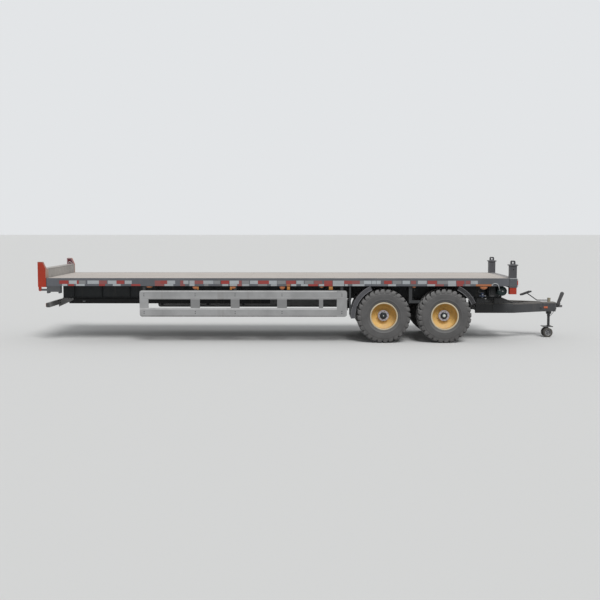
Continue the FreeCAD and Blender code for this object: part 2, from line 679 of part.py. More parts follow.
def underrun_arms():
    """Plates that carry the underrun bar from the main beams."""
    plate, drop = 8, 50
    length, slope, throat = 330, 150, 110
    rise = f"({BEAM_BOTTOM} - {BAR_BOTTOM} + {drop})"
    outline = [("0", "0"), (length, slope), (length, rise), (throat, rise), ("0", throat)]
    arm = padded("underrun_arm", "XZ_Plane", outline, plate,
                 (f"{BAR_X} + bar_depth", f"{BEAM_Y} + {plate} / 2", f"{BAR_BOTTOM} - {drop}"))
    return both_sides("underrun_arms", [arm])


def tail_lamps():
    """Lamp boxes at both ends of the underrun bar."""
    depth, width, margin, inset = 28, 260, 5, 10
    lamp = block("tail_lamp", (depth, width, f"bar_height - 2 * {margin}"),
                 (f"{BAR_X} - {depth}", f"{HALF_WIDTH} - bar_inset - {inset} - {width}",
                  f"{BAR_BOTTOM} + {margin}"))
    return both_sides("tail_lamps", [lamp])


# ---------------------------------------------------------------- drawbar and jack

def drawbar_legs():
    """Two box legs: parallel under the chassis, then converging to the nose."""
    nose_overlap = 10

    def leg(name, inset, height, z):
        outer_y = f"({BEAM_Y} + drawbar_width / 2 - {inset})"
        inner_y = f"({BEAM_Y} - drawbar_width / 2 + {inset})"
        nose_y = f"(head_block_width / 2 + {nose_overlap})"
        rear = f"({DRAWBAR_REAR} + {inset})"
        outline = [(rear, inner_y), (rear, outer_y), (DRAWBAR_BEND, outer_y),
                   (NOSE, f"{nose_y} - {inset}"),
                   (NOSE, f"{nose_y} - drawbar_width + {inset}"), (DRAWBAR_BEND, inner_y)]
        return padded(name, "XY_Plane", outline, height, (0, 0, z))

    outer = leg("leg_outer", "0", "drawbar_height", DRAWBAR_BOTTOM)
    inner = leg("leg_bore", "drawbar_wall", "drawbar_height - 2 * drawbar_wall",
                f"{DRAWBAR_BOTTOM} + drawbar_wall")
    return both_sides("drawbar_legs", [cut("drawbar_leg", outer, inner)])


def drawbar_ties():
    """Box ties between the drawbar legs."""
    rear_inset, bend_inset, wall = 80, 70, 10
    inner = f"({BEAM_Y} - drawbar_width / 2)"
    middle = f"({DRAWBAR_BOTTOM} + drawbar_height / 2)"
    ties = {"rear": f"({DRAWBAR_REAR} + {rear_inset})",
            "bend": f"({DRAWBAR_BEND} - {bend_inset})"}
    return group("drawbar_ties",
                 [tube_across("drawbar_tie_" + name, "drawbar_tie", wall, f"2 * {inner}",
                              (x, f"-{inner}", middle)) for name, x in ties.items()])


def drawbar_hangers():
    """Blocks and a gusset that carry the drawbar under the main beams."""
    length, width, gusset_length, gusset_wall = 180, 90, 280, 14
    rear_x = f"({DRAWBAR_REAR} + 20)"
    front_x = f"({DECK_FRONT} - 165)"
    rear, front = [block("hanger_" + name, (length, width, "hanger_height"),
                         (x, f"{BEAM_Y} - {width / 2}", DRAWBAR_TOP))
                   for name, x in (("rear", rear_x), ("front", front_x))]
    gusset = padded("gusset", "XZ_Plane",
                    [("0", "0"), (gusset_length, "0"), ("0", "hanger_height")], gusset_wall,
                    (f"{front_x} + {length}", f"{BEAM_Y} + {gusset_wall} / 2", DRAWBAR_TOP))
    return both_sides("drawbar_hangers", [rear, fuse("hanger_and_gusset", [front, gusset])])


def drawbar_head():
    """Fabricated block at the nose, bored for the jack."""
    outer = block("head_outer", ("head_length", "head_block_width", "drawbar_height"),
                  (NOSE, "-head_block_width / 2", DRAWBAR_BOTTOM))
    hollow = block("head_hollow",
                   ("head_length - 2 * drawbar_wall", "head_block_width - 2 * drawbar_wall",
                    "drawbar_height - 2 * drawbar_wall"),
                   (f"{NOSE} + drawbar_wall", "-head_block_width / 2 + drawbar_wall",
                    f"{DRAWBAR_BOTTOM} + drawbar_wall"))
    jack_hole = rod("jack_hole", "jack_radius + jack_fix", "drawbar_height",
                    (JACK_X, 0, DRAWBAR_BOTTOM), "z")
    return cut("drawbar_head", outer, fuse("head_cuts", [hollow, jack_hole]))


def towing_eye():
    """Flange, shank and ring that take the towing vehicle's pin."""
    flange_width, flange_height, shank_radius, root = 160, 150, 30, 10
    ring = rod("eye_ring", "eye_radius", "eye_thickness",
               (EYE_X, 0, f"{EYE_Z} - eye_thickness / 2"), "z")
    shank = rod("eye_shank", shank_radius, f"eye_reach - eye_radius + {root}",
                (HEAD_FRONT, 0, EYE_Z), "x")
    flange = block("eye_plate", ("eye_flange", flange_width, flange_height),
                   (HEAD_FRONT, -flange_width / 2, f"{EYE_Z} - {flange_height / 2}"))
    hole = rod("eye_hole", "eye_bore", "eye_thickness",
               (EYE_X, 0, f"{EYE_Z} - eye_thickness / 2"), "z")
    return cut("towing_eye", fuse("eye_solid", [ring, shank, flange]), hole)


def handbrake_lever():
    """Thick hand lever beside the towing eye, leaning forwards."""
    thickness, beside, lift, rise = 34, 64, 130, 320
    foot_length, heel, tip_drop, tip_width = 75, 58, 30, 70
    foot = f"({HEAD_FRONT} + eye_flange)"
    base = f"({DRAWBAR_BOTTOM} + {lift})"
    top = f"({base} + {rise})"
    outline = [(foot, base), (f"{foot} + {foot_length}", base),
               (FRONT_TIP, f"{top} - {tip_drop}"), (f"{FRONT_TIP} - 20", top),
               (f"{FRONT_TIP} - {tip_width}", top), (f"{FRONT_TIP} - {tip_width} - 20",
                                                     f"{top} - 20"),
               (foot, f"{base} + {heel}")]
    return padded("handbrake_lever", "XZ_Plane", outline, thickness, (0, -beside, 0))


def jack_housing():
    """Outer tube of the jack with its clamp ring, held in the drawbar head."""
    clamp_width, clamp_height = 24, 60
    height = f"({JACK_TOP} - {JACK_BOTTOM})"
    outer = rod("jack_outer", "jack_radius", height, (JACK_X, 0, JACK_BOTTOM), "z")
    clamp = rod("jack_clamp", f"jack_radius + {clamp_width}", clamp_height,
                (JACK_X, 0, f"{DRAWBAR_BOTTOM} - {clamp_height}"), "z")
    inner = rod("jack_bore", "jack_radius - jack_wall", f"{height} - jack_lid",
                (JACK_X, 0, JACK_BOTTOM), "z")
    return cut("jack_housing", fuse("jack_solid", [outer, clamp]), inner)


def jack_crank():
    """Bent crank with its grip, lying back over the drawbar."""
    bar, grip_radius, grip_length, arm_length = 11, 20, 240, 290
    reach, drop, arm_lean, grip_lean = 275, 50, 55, 110
    grip_back, grip_up = 130, 204
    elbow = f"({JACK_X} - {reach})"
    z = f"({JACK_TOP} - {drop})"
    hub_bar = rod("crank_hub", bar, f"{reach} - jack_radius", (elbow, 0, z), "x")
    joint = doc.addObject("Part::Sphere", "crank_joint")
    joint.Radius = bar
    place(joint, (elbow, 0, z))
    arm = rod("crank_arm", bar, arm_length, (elbow, 0, z), "z")
    arm.Placement.Rotation = FreeCAD.Rotation(Vector(0, 1, 0), -arm_lean)
    grip = rod("crank_grip", grip_radius, grip_length,
               (f"{elbow} - {grip_back}", 0, f"{z} + {grip_up}"), "z")
    grip.Placement.Rotation = FreeCAD.Rotation(Vector(0, 1, 0), -grip_lean)
    return fuse("jack_crank", [hub_bar, joint, arm, grip])


def jack_inner_tube():
    """Sliding tube that carries the jockey wheels."""
    plate_radius, plate = 52, 12
    bottom = f"({CROWN_TOP} + swivel_gap + {plate})"
    height = f"({JACK_TOP} - jack_lid - jack_travel - jack_play - {bottom})"
    radius = "(jack_radius - jack_wall - jack_fit)"
    outer = rod("inner_outer", radius, height, (JACK_X, 0, bottom), "z")
    inner = rod("inner_bore", f"{radius} - jack_wall", height, (JACK_X, 0, bottom), "z")
    foot = rod("inner_plate", plate_radius, plate, (JACK_X, 0, f"{bottom} - {plate}"), "z")
    return fuse("jack_inner_tube", [cut("inner_tube", outer, inner), foot])


def jack_fork():
    """Crown plate, centre web and axle of the jockey caster."""
    crown_length, web_length, web_play, boss_radius, axle_short = 230, 60, 6, 30, 5
    axle_x = f"({JACK_X} - jockey_trail)"
    half_width = "(jockey_width + jockey_gap / 2)"
    web_half = f"(jockey_gap / 2 - {web_play})"
    crown = block("fork_crown", (crown_length, f"2 * {half_width}", "crown_thickness"),
                  (f"{axle_x} - {crown_length / 2}", f"-{half_width}",
                   f"{CROWN_TOP} - crown_thickness"))
    web = block("fork_web", (web_length, f"2 * {web_half}", f"{CROWN_TOP} - jockey_radius"),
                (f"{axle_x} - {web_length / 2}", f"-{web_half}", "jockey_radius"))
    axle = rod("fork_axle", "jockey_axle", f"2 * ({half_width} - {axle_short})",
               (axle_x, f"-{half_width} + {axle_short}", "jockey_radius"), "y")
    boss = rod("fork_boss", boss_radius, f"2 * {web_half}",
               (axle_x, f"-{web_half}", "jockey_radius"), "y")
    return fuse("jack_fork", [crown, web, axle, boss])


def jack_wheels():
    """Twin jockey wheels with bevelled edges."""
    bevel, bevel_depth = 12, 10
    bore = "(jockey_axle + jockey_fit)"
    shoulder = f"(jockey_radius - {bevel_depth})"
    made = []
    for side, sign in SIDES.items():
        near = "(jockey_gap / 2)"
        far = "(jockey_gap / 2 + jockey_width)"
        profile = [(near, bore), (far, bore), (far, shoulder),
                   (f"({far} - {bevel})", "jockey_radius"),
                   (f"({near} + {bevel})", "jockey_radius"), (near, shoulder)]
        made.append(turned(f"jockey_wheel_{side}", [(f"{sign} * {y}", radius)
                                                    for y, radius in profile],
                           (f"{JACK_X} - jockey_trail", 0, "jockey_radius")))
    return group("jack_wheels", made)


# ---------------------------------------------------------------- running gear

DRUM_EDGE = "(hub_disc_offset - 20 - drum_width)"


def axle_beams():
    """Square axle beams with stub axles, brake shields and spring pads."""
    end_plate, beam_play, pad_length, pad_margin, shield_play = 20, 20, 170, 15, 7
    half = f"(track / 2 - rim_width / 2 + {beam_play})"
    tip = "(track / 2 + spindle_reach)"
    shield_y = f"(track / 2 + {DRUM_EDGE} - shield_gap - shield_wall)"
    made = []
    for name, x in AXLES.items():
        parts = [tube_across(f"axle_{name}_beam", "axle_size", "axle_wall", f"2 * {half}",
                             (x, f"-{half}", WHEEL_Z))]
        for side, sign in SIDES.items():
            left = side == "left"
            parts.append(rod(f"spindle_{name}_{side}", "spindle_radius", f"{tip} - {half}",
                             (x, half if left else f"-{tip}", WHEEL_Z), "y"))
            parts.append(block(f"axle_end_{name}_{side}", ("axle_size", end_plate, "axle_size"),
                               (f"{x} - axle_size / 2",
                                f"{half} - {end_plate}" if left else f"-{half}",
                                f"{WHEEL_Z} - axle_size / 2")))
            parts.append(rod(f"shield_{name}_{side}", f"drum_radius - {shield_play}",
                             "shield_wall",
                             (x, shield_y if left else f"-{shield_y} - shield_wall", WHEEL_Z),
                             "y"))
            parts.append(block(f"spring_pad_{name}_{side}",
                               (pad_length, f"spring_width + 2 * {pad_margin}", "spring_pad"),
                               (f"{x} - {pad_length / 2}",
                                f"{sign} * {BEAM_Y} - spring_width / 2 - {pad_margin}",
                                f"{WHEEL_Z} + axle_size / 2")))
        made.append(fuse(f"axle_{name}", parts))
    return group("axle_beams", made)


# Degrees of the spring's circle that each leaf covers, longest first.
LEAF_TURNS = [38, 31, 24, 17, 10]
SPRING_BOTTOM = f"({WHEEL_Z} + axle_size / 2 + spring_pad)"
SPRING_TOP = f"({SPRING_BOTTOM} + {len(LEAF_TURNS)} * spring_leaf)"
SPRING_REACH = f"(spring_bend * sin({LEAF_TURNS[0] / 2} deg))"
SPRING_TIP = f"({SPRING_TOP} + spring_bend * (1 - cos({LEAF_TURNS[0] / 2} deg)))"


def leaf_springs():
    """Five curved leaves per pack, one pack at each end of each axle."""
    made = []
    for name, x in AXLES.items():
        leaves = []
        for number, turn in enumerate(LEAF_TURNS):
            # Each leaf is the lowest stretch of its circle.
            leaves.append(ring_sector(
                f"leaf_{name}_{number}", f"(spring_bend + {number + 1} * spring_leaf)",
                "spring_leaf", "spring_width",
                (x, f"{BEAM_Y} - spring_width / 2", f"{SPRING_TOP} + spring_bend"),
                turn / 2 - 90, turn))
        made.append(fuse(f"spring_{name}", leaves))
    return both_sides("leaf_springs", made)


def spring_hangers():
    """End hangers with slipper blocks, and the middle hanger with its rocker."""
    end_length, middle_length, cheek_drop = 120, 170, 45
    slipper_length, slipper_height, slipper_lap, slipper_gap = 90, 24, 25, 0.8
    cheek_shift = 15
    tip = f"({SPRING_TIP} + {slipper_gap})"
    near = "(spring_width / 2 + hanger_play)"
    # name, middle of the cheeks, cheek length, slipper start, slipper length
    rows = [("rear", f"({REAR_AXLE} - {SPRING_REACH} + {cheek_shift})", end_length,
             f"({REAR_AXLE} - {SPRING_REACH} - {slipper_lap})", slipper_length),
            ("middle", MID_AXLES, middle_length,
             f"({REAR_AXLE} + {SPRING_REACH} - 40)",
             f"({AXLE_SPACING} - 2 * {SPRING_REACH} + 80)"),
            ("front", f"({FRONT_AXLE} + {SPRING_REACH} - {cheek_shift})", end_length,
             f"({FRONT_AXLE} + {SPRING_REACH} + {slipper_lap} - {slipper_length})",
             slipper_length)]
    made = []
    for name, centre, length, start, block_length in rows:
        parts = []
        for side, y in (("outer", f"({BEAM_Y} + {near})"),
                        ("inner", f"({BEAM_Y} - {near} - hanger_wall)")):
            parts.append(block(f"cheek_{name}_{side}",
                               (length, "hanger_wall",
                                f"{BEAM_BOTTOM} - {tip} + {cheek_drop}"),
                               (f"{centre} - {length / 2}", y, f"{tip} - {cheek_drop}")))
        parts.append(block(f"slipper_{name}", (block_length, f"2 * {near}", slipper_height),
                           (start, f"{BEAM_Y} - {near}", tip)))
        made.append(fuse(f"spring_hanger_{name}", parts))
    return both_sides("spring_hangers", made)


def brake_chambers():
    """Air brake chambers behind the axles."""
    radius, length, y, behind = 75, 120, 260, 70
    arm_width, arm_height = 60, 40
    made = []
    for name, x in AXLES.items():
        face = f"({x} - axle_size / 2 - {behind})"
        body = rod(f"chamber_{name}_body", radius, length,
                   (f"{face} - {length}", y, WHEEL_Z), "x")
        arm = block(f"chamber_{name}_arm", (behind, arm_width, arm_height),
                    (face, y - arm_width / 2, f"{WHEEL_Z} - {arm_height / 2}"))
        made.append(fuse(f"chamber_{name}", [body, arm]))
    return both_sides("brake_chambers", made)


def tyre(axle, side):
    """Tyre as one solid ring whose sidewalls bulge over the rim flanges."""
    sign = SIDES[side]
    flank, shoulder_in, crown_in = 12, 40, 90
    flank_drop, shoulder_drop = 45, 8
    half = "tyre_width / 2"
    bead = "(rim_width / 2 - 1)"
    toe = "(rim_width / 2 + 16)"
    lip = "(rim_radius + rim_flange + 2)"
    bulge = "((rim_radius + wheel_radius) / 2)"
    # Half of the section, from the bead out to the crown.
    edge = [(bead, "rim_radius + bead_fit"), (bead, lip), (toe, lip), (half, bulge),
            (f"({half} - {flank})", f"wheel_radius - {flank_drop}"),
            (f"({half} - {shoulder_in})", f"wheel_radius - {shoulder_drop}"),
            (f"({half} - {crown_in})", "wheel_radius")]
    outline = edge + [(f"-{y}", radius) for y, radius in reversed(edge)]
    return turned(f"tyre_{axle}_{side}", outline, (AXLES[axle], f"{sign} * track / 2", WHEEL_Z))


def rim(axle, side):
    """Rim barrel with its flanges and the dished disc bolted to the hub."""
    sign = SIDES[side]
    flange_wall, dish, disc_seat = 14, 60, 25
    edge = "(rim_width / 2)"
    outside = f"({edge} + {flange_wall})"
    top = "(rim_radius + rim_flange)"
    barrel = "(rim_radius - rim_wall)"
    disc = "hub_disc_offset"
    bore = "hub_radius + 1"
    flat = f"hub_flange_radius + {disc_seat}"
    profile = [(f"-{outside}", top), (f"-{edge}", top), (f"-{edge}", "rim_radius"),
               (edge, "rim_radius"), (edge, top), (outside, top), (outside, barrel),
               (f"{disc} + {dish}", barrel), (f"{disc} + rim_wall", flat),
               (f"{disc} + rim_wall", bore), (disc, bore), (disc, flat),
               (f"{disc} + {dish} - rim_wall", barrel), (f"-{outside}", barrel)]
    outline = [(f"{sign} * ({y})", radius) for y, radius in profile]
    return turned(f"rim_{axle}_{side}", outline, (AXLES[axle], f"{sign} * track / 2", WHEEL_Z))


def hub(axle, side):
    """Brake drum, wheel flange and hub barrel on the stub axle, with a closed cap."""
    sign = SIDES[side]
    barrel_back, barrel_front, end_play = 150, 70, 15
    cap_radius, cap_taper, cap_length = 50, 4, 40
    bore = "(spindle_radius + spindle_fit)"
    disc = "hub_disc_offset"
    back = f"({disc} - {barrel_back})"
    front = f"({disc} + {barrel_front})"
    drum_face = f"({DRUM_EDGE} + drum_width)"
    cavity = f"(spindle_reach + {end_play})"
    profile = [(back, bore), (back, "hub_radius"), (f"{drum_face} - drum_wall", "hub_radius"),
               (f"{drum_face} - drum_wall", "drum_radius - drum_wall"),
               (DRUM_EDGE, "drum_radius - drum_wall"), (DRUM_EDGE, "drum_radius"),
               (drum_face, "drum_radius"), (drum_face, "hub_flange_radius"),
               (disc, "hub_flange_radius"), (disc, "hub_radius"), (front, "hub_radius"),
               (front, cap_radius), (f"{front} + {cap_length}", cap_radius - cap_taper),
               (f"{front} + {cap_length}", "0"), (cavity, "0"), (cavity, bore)]
    outline = [(f"{sign} * ({y})", radius) for y, radius in profile]
    return turned(f"hub_{axle}_{side}", outline, (AXLES[axle], f"{sign} * track / 2", WHEEL_Z))


# ---------------------------------------------------------------- mudguards and side guards

def mudguards():
    """Quarter guards behind the rear wheels and ahead of the front wheels."""
    inner_y = "(track / 2 - tyre_width / 2)"
    outer_y = f"({HALF_WIDTH} - guard_inset)"
    made = []
    # axle, upper or lower end angle, sweep angle
    for axle, start, sweep in [("rear", 184, 69.6), ("front", 65.6, 41.6)]:
        sheet = ring_sector(f"guard_{axle}_sheet", GUARD_RADIUS, "guard_sheet",
                            f"{outer_y} - {inner_y}", (AXLES[axle], inner_y, WHEEL_Z),
                            start, sweep)
        lip = ring_sector(f"guard_{axle}_lip", GUARD_RADIUS, "guard_depth", "guard_sheet",
                          (AXLES[axle], f"{outer_y} - guard_sheet", WHEEL_Z), start, sweep)
        made.append(fuse(f"mudguard_{axle}", [sheet, lip]))
    return both_sides("mudguards", made)


def mudguard_stays():
    """Cross rods from the beams over the guards, and struts down from the side rails."""
    radius, rest = 12, 0.3
    reach = f"({GUARD_RADIUS} + {radius} + {rest})"
    start = f"({BEAM_Y} + beam_web / 2)"
    strut_y = f"({HALF_WIDTH} - 60)"
    made = []
    for axle, turn in (("rear", 145), ("front", 35)):
        made.append(rod(f"guard_rod_{axle}", radius, f"{HALF_WIDTH} - 10 - {start}",
                        (f"{AXLES[axle]} + {reach} * cos({turn} deg)", start,
                         f"{WHEEL_Z} + {reach} * sin({turn} deg)"), "y"))
    strut_length, strut_width, strut_low, strut_rest = 38, 30, 35, 0.5
    made.append(block("guard_strut",
                      (strut_length, strut_width,
                       f"{RAIL_BOTTOM} - {WHEEL_Z} - {strut_low}"),
                      (f"{REAR_AXLE} - {GUARD_RADIUS} - {strut_rest} - {strut_length}", strut_y,
                       f"{WHEEL_Z} + {strut_low}")))
    # Plate between the tyres: a broad foot with a narrower neck up to the rail.
    half, neck, thickness = 120, 50, 10
    foot = f"({WHEEL_Z} + 285)"
    ankle = f"({WHEEL_Z} + 345)"
    outline = [(-half, RAIL_BOTTOM), (-half, foot), (half, foot), (half, ankle),
               (-neck, ankle), (-neck, RAIL_BOTTOM)]
    made.append(padded("middle_strut", "XZ_Plane", outline, thickness,
                       (MID_AXLES, strut_y, 0)))
    return both_sides("mudguard_stays", made)


SIDE_GUARD_FRONT = f"({REAR_AXLE} - {GUARD_RADIUS} - side_guard_gap)"
SIDE_GUARD_REAR = f"({DECK_REAR} + side_guard_setback)"
SIDE_GUARD_LENGTH = f"({SIDE_GUARD_FRONT} - {SIDE_GUARD_REAR})"
SIDE_GUARD_BOTTOM = f"({DECK_TOP} - side_guard_drop - side_guard_height)"
SIDE_GUARD_Y = f"({HALF_WIDTH} - side_guard_thickness)"


def side_guard_rails():
    """Upper and lower rails on both sides, pans that open towards the chassis."""
    wall = "side_guard_wall"
    plate = round_cornered("guard_plate",
                           (SIDE_GUARD_LENGTH, "side_guard_thickness", "side_guard_height"),
                           "side_guard_corner",
                           (SIDE_GUARD_REAR, SIDE_GUARD_Y, SIDE_GUARD_BOTTOM))
    hollow = round_cornered("guard_hollow",
                            (f"({SIDE_GUARD_LENGTH} - 2 * {wall})",
                             f"(side_guard_thickness - {wall})",
                             f"(side_guard_height - 2 * {wall})"),
                            f"(side_guard_corner - {wall})",
                            (f"{SIDE_GUARD_REAR} + {wall}", SIDE_GUARD_Y,
                             f"{SIDE_GUARD_BOTTOM} + {wall}"))
    levels = {"lower": SIDE_GUARD_BOTTOM,
              "upper": f"({SIDE_GUARD_BOTTOM} + side_guard_height - side_guard_rail)"}
    made = []
    for level, z in levels.items():
        band = block(f"guard_{level}_band",
                     (SIDE_GUARD_LENGTH, "side_guard_thickness", "side_guard_rail"),
                     (SIDE_GUARD_REAR, SIDE_GUARD_Y, z))
        core = block(f"guard_{level}_core",
                     (SIDE_GUARD_LENGTH, "side_guard_thickness",
                      f"side_guard_rail - 2 * {wall}"),
                     (SIDE_GUARD_REAR, SIDE_GUARD_Y, f"{z} + {wall}"))
        made.append(cut(f"side_guard_{level}",
                        common(f"guard_{level}_solid", plate, band),
                        common(f"guard_{level}_hollow", hollow, core)))
    return both_sides("side_guard_rails", made)


GUARD_POSTS = [
    # name, place as a share of the way from the guard's rear end to its front end, length
    ("tail", 0, 190), ("second", 0.2576, 200), ("third", 0.4593, 190),
    ("fourth", 0.6963, 210), ("fifth", 0.883, 90), ("front", 1, 220),
]


def side_guard_posts():
    """Upright plates between the rails."""
    wall = "side_guard_wall"
    low = f"({SIDE_GUARD_BOTTOM} + side_guard_rail)"
    gap = "(side_guard_height - 2 * side_guard_rail)"
    made = []
    for name, share, length in GUARD_POSTS:
        start = f"({SIDE_GUARD_REAR} + {share} * ({SIDE_GUARD_LENGTH} - {length}))"
        outer = block(f"guard_post_{name}_outer", (length, "side_guard_thickness", gap),
                      (start, SIDE_GUARD_Y, low))
        hollow = block(f"guard_post_{name}_hollow",
                       (f"{length} - 2 * {wall}", f"side_guard_thickness - {wall}", gap),
                       (f"{start} + {wall}", SIDE_GUARD_Y, low))
        made.append(cut(f"guard_post_{name}", outer, hollow))
    return both_sides("side_guard_posts", made)


def side_guard_arms():
    """Straps that hang the side guards from the side rails."""
    width, thickness, low = 60, 10, 40
    bottom = f"({SIDE_GUARD_BOTTOM} + {low})"
    made = []
    for name, share, length in GUARD_POSTS:
        if name == "fifth":
            continue
        start = f"({SIDE_GUARD_REAR} + {share} * ({SIDE_GUARD_LENGTH} - {length}))"
        made.append(block(f"guard_arm_{name}", (width, thickness, f"{RAIL_BOTTOM} - {bottom}"),
                          (f"{start} + {length / 2 - width / 2}",
                           f"{SIDE_GUARD_Y} - {thickness}", bottom)))
    return both_sides("side_guard_arms", made)


# ---------------------------------------------------------------- tanks, boxes and lamps

def air_tank():
    """Air tank across the trailer behind the front corner, hung from two bearers."""
    hook, ring_wall, side_inset, setback, drop = 40, 4, 120, 125, 14
    x = f"({DECK_FRONT} - {setback})"
    outer_y = f"(-{HALF_WIDTH} + {side_inset})"
    z = f"({RAIL_BOTTOM} - tank_radius - {drop})"
    pieces = [rod("tank_shell", "tank_radius", "tank_length", (x, outer_y, z), "y")]
    bearer_length = f"({CROSS_PITCH} + cross_flange)"
    for name, along in (("outer", 80), ("inner", 440)):
        y = f"({outer_y} + {along})"
        pieces.append(rod(f"tank_ring_{name}", f"tank_radius + {ring_wall}", hook,
                          (x, y, z), "y"))
        pieces.append(block(f"tank_hook_{name}", (hook, hook, f"{BEAM_TOP} - {z} - bearer"),
                            (f"{x} - {hook / 2}", y, z)))
        pieces.append(block(f"bearer_{name}", (bearer_length, hook, "bearer"),
                            (f"{DECK_FRONT} - {bearer_length}", y, f"{BEAM_TOP} - bearer")))
    return fuse("air_tank", pieces)


def tool_box():
    """Closed box under the bearers."""
    length, width, drop = 140, 420, 230
    setback, side_inset = 410, 150
    bottom = f"({RAIL_BOTTOM} - {drop})"
    return block("tool_box", (length, width, f"{BEAM_TOP} - bearer - {bottom}"),
                 (f"{DECK_FRONT} - {setback}", f"-{HALF_WIDTH} + {side_inset}", bottom))


AMBER_LAMPS = [
    # middle of the lamp as a share of the deck from its rear edge, length
    (0.2235, 150), (0.3225, 120), (0.4045, 120), (0.5145, 150), (0.6055, 170),
    (0.7925, 110), (0.9455, 170),
]


def amber_lamps():
    """Side marker lamps under both side rails."""
    depth, height, inset = 28, 46, 1
    made = []
    for number, (share, length) in enumerate(AMBER_LAMPS):
        made.append(block(f"amber_lamp_{number}", (length, depth, height),
                          (f"{DECK_REAR} + {share} * {DECK_LENGTH} - {length / 2}",
                           f"{HALF_WIDTH} - {depth} - {inset}", f"{RAIL_BOTTOM} - {height}")))
    return both_sides("amber_lamps", made)


# ---------------------------------------------------------------- the whole trailer

def build():
    made = [
        main_beams(), cross_members(), side_rails(), deck_floor(), chassis_ties(),
        line_duct(), front_bolster(), corner_sleeves(), front_board(),
        tailboard_panel(), tailboard_ends(), hinge_brackets(), underrun_bar(),
        underrun_arms(), tail_lamps(), drawbar_legs(), drawbar_ties(), drawbar_hangers(),
        drawbar_head(), towing_eye(), handbrake_lever(), jack_housing(), jack_crank(),
        jack_inner_tube(), jack_fork(), jack_wheels(), axle_beams(), leaf_springs(),
        spring_hangers(), brake_chambers(), mudguards(), mudguard_stays(),
        side_guard_rails(), side_guard_posts(), side_guard_arms(), air_tank(), tool_box(),
        amber_lamps(),
    ]
    for side in SIDES:
        made += [corner_post(side), post_foot(side)]
        for axle in AXLES:
            made += [tyre(axle, side), rim(axle, side), hub(axle, side)]
    return made


sub_parts = build()
doc.recompute()

for thing in doc.Objects:
    if "Invalid" in thing.State or "Error" in thing.State:
        raise RuntimeError(f"{thing.Name} did not compute: {thing.State}")
for thing in sub_parts:
    if thing.Shape.isNull() or not thing.Shape.isValid():
        raise RuntimeError(f"{thing.Name} has no valid shape")

os.makedirs("parts", exist_ok=True)
for thing in sub_parts:
    thing.Label = thing.Name
    shape = thing.Shape
    shape.exportStep(f"parts/{thing.Label}.step")
    box = shape.BoundBox
    print(f"{thing.Label:20s} solids {len(shape.Solids):2d} volume {shape.Volume / 1e6:8.3f} L"
          f"  x {box.XMin:8.1f} {box.XMax:8.1f}  y {box.YMin:7.1f} {box.YMax:7.1f}"
          f"  z {box.ZMin:6.1f} {box.ZMax:6.1f}")
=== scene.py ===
import json
import math

import bmesh
import bpy
from mathutils import Matrix, Vector


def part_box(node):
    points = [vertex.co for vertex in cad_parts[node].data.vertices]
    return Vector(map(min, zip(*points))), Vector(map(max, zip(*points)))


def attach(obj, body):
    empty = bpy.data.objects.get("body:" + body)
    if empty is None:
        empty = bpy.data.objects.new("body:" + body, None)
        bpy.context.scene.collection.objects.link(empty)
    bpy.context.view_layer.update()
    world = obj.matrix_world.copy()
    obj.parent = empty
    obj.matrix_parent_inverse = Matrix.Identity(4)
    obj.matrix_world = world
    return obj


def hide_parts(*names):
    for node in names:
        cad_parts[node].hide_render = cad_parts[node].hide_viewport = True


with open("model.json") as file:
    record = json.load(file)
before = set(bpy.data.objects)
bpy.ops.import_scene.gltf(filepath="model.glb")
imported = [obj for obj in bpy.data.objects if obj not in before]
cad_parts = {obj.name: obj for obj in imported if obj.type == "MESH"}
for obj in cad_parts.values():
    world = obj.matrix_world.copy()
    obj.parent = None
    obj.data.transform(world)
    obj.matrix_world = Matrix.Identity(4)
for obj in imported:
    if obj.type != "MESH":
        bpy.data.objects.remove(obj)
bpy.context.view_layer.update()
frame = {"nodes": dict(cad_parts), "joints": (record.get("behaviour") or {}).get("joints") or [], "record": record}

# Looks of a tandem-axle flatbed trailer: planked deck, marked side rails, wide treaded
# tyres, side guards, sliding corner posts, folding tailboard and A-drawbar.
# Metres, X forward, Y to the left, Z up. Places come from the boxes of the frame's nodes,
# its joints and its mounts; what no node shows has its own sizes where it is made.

X, Y, Z = Vector((1, 0, 0)), Vector((0, 1, 0)), Vector((0, 0, 1))
SIDES, AXLES = {"left": 1, "right": -1}, ("rear", "front")


# ------------------------------------------------------------------ places in the frame

def lo_hi(node):
    """Corners of a node's box."""
    return tuple(Vector(corner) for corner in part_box(node))


def middle_of(node):
    """Middle of a node's box."""
    low, high = lo_hi(node)
    return (low + high) / 2


def place_of(name):
    """Where a joint turns or a mount sits."""
    rows = frame["joints"] + frame["record"]["mounts"]
    return Vector(next(row["pos_m"] for row in rows if row["name"] == name))


# ------------------------------------------------------------------ node wiring

def wire(tree, kind, inputs=None, out=0, **settings):
    """Adds a node, gives each input a value or a link, and returns one of its outputs."""
    node = tree.nodes.new(kind)
    for name, value in settings.items():
        setattr(node, name, value)
    for key, value in (inputs or {}).items():
        if isinstance(value, bpy.types.NodeSocket):
            tree.links.new(value, node.inputs[key])
        else:
            node.inputs[key].default_value = value
    return node.outputs[out]


def calc(tree, operation, a, b=0.0):
    """One step of arithmetic on numbers."""
    return wire(tree, "ShaderNodeMath", {0: a, 1: b}, operation=operation)


def times(tree, a, b):
    """The product of two numbers."""
    return calc(tree, "MULTIPLY", a, b)


def fade(tree, value, low, high, first=0.0, last=1.0):
    """Goes smoothly from first to last while value goes from low to high."""
    return wire(tree, "ShaderNodeMapRange", {"Value": value, "From Min": low, "From Max": high,
                                             "To Min": first, "To Max": last},
                interpolation_type="SMOOTHSTEP")


def tint(tree, share, low, high):
    """Goes from one colour to another."""
    return wire(tree, "ShaderNodeMix", {0: share, 6: low, 7: high}, out=2, data_type="RGBA")


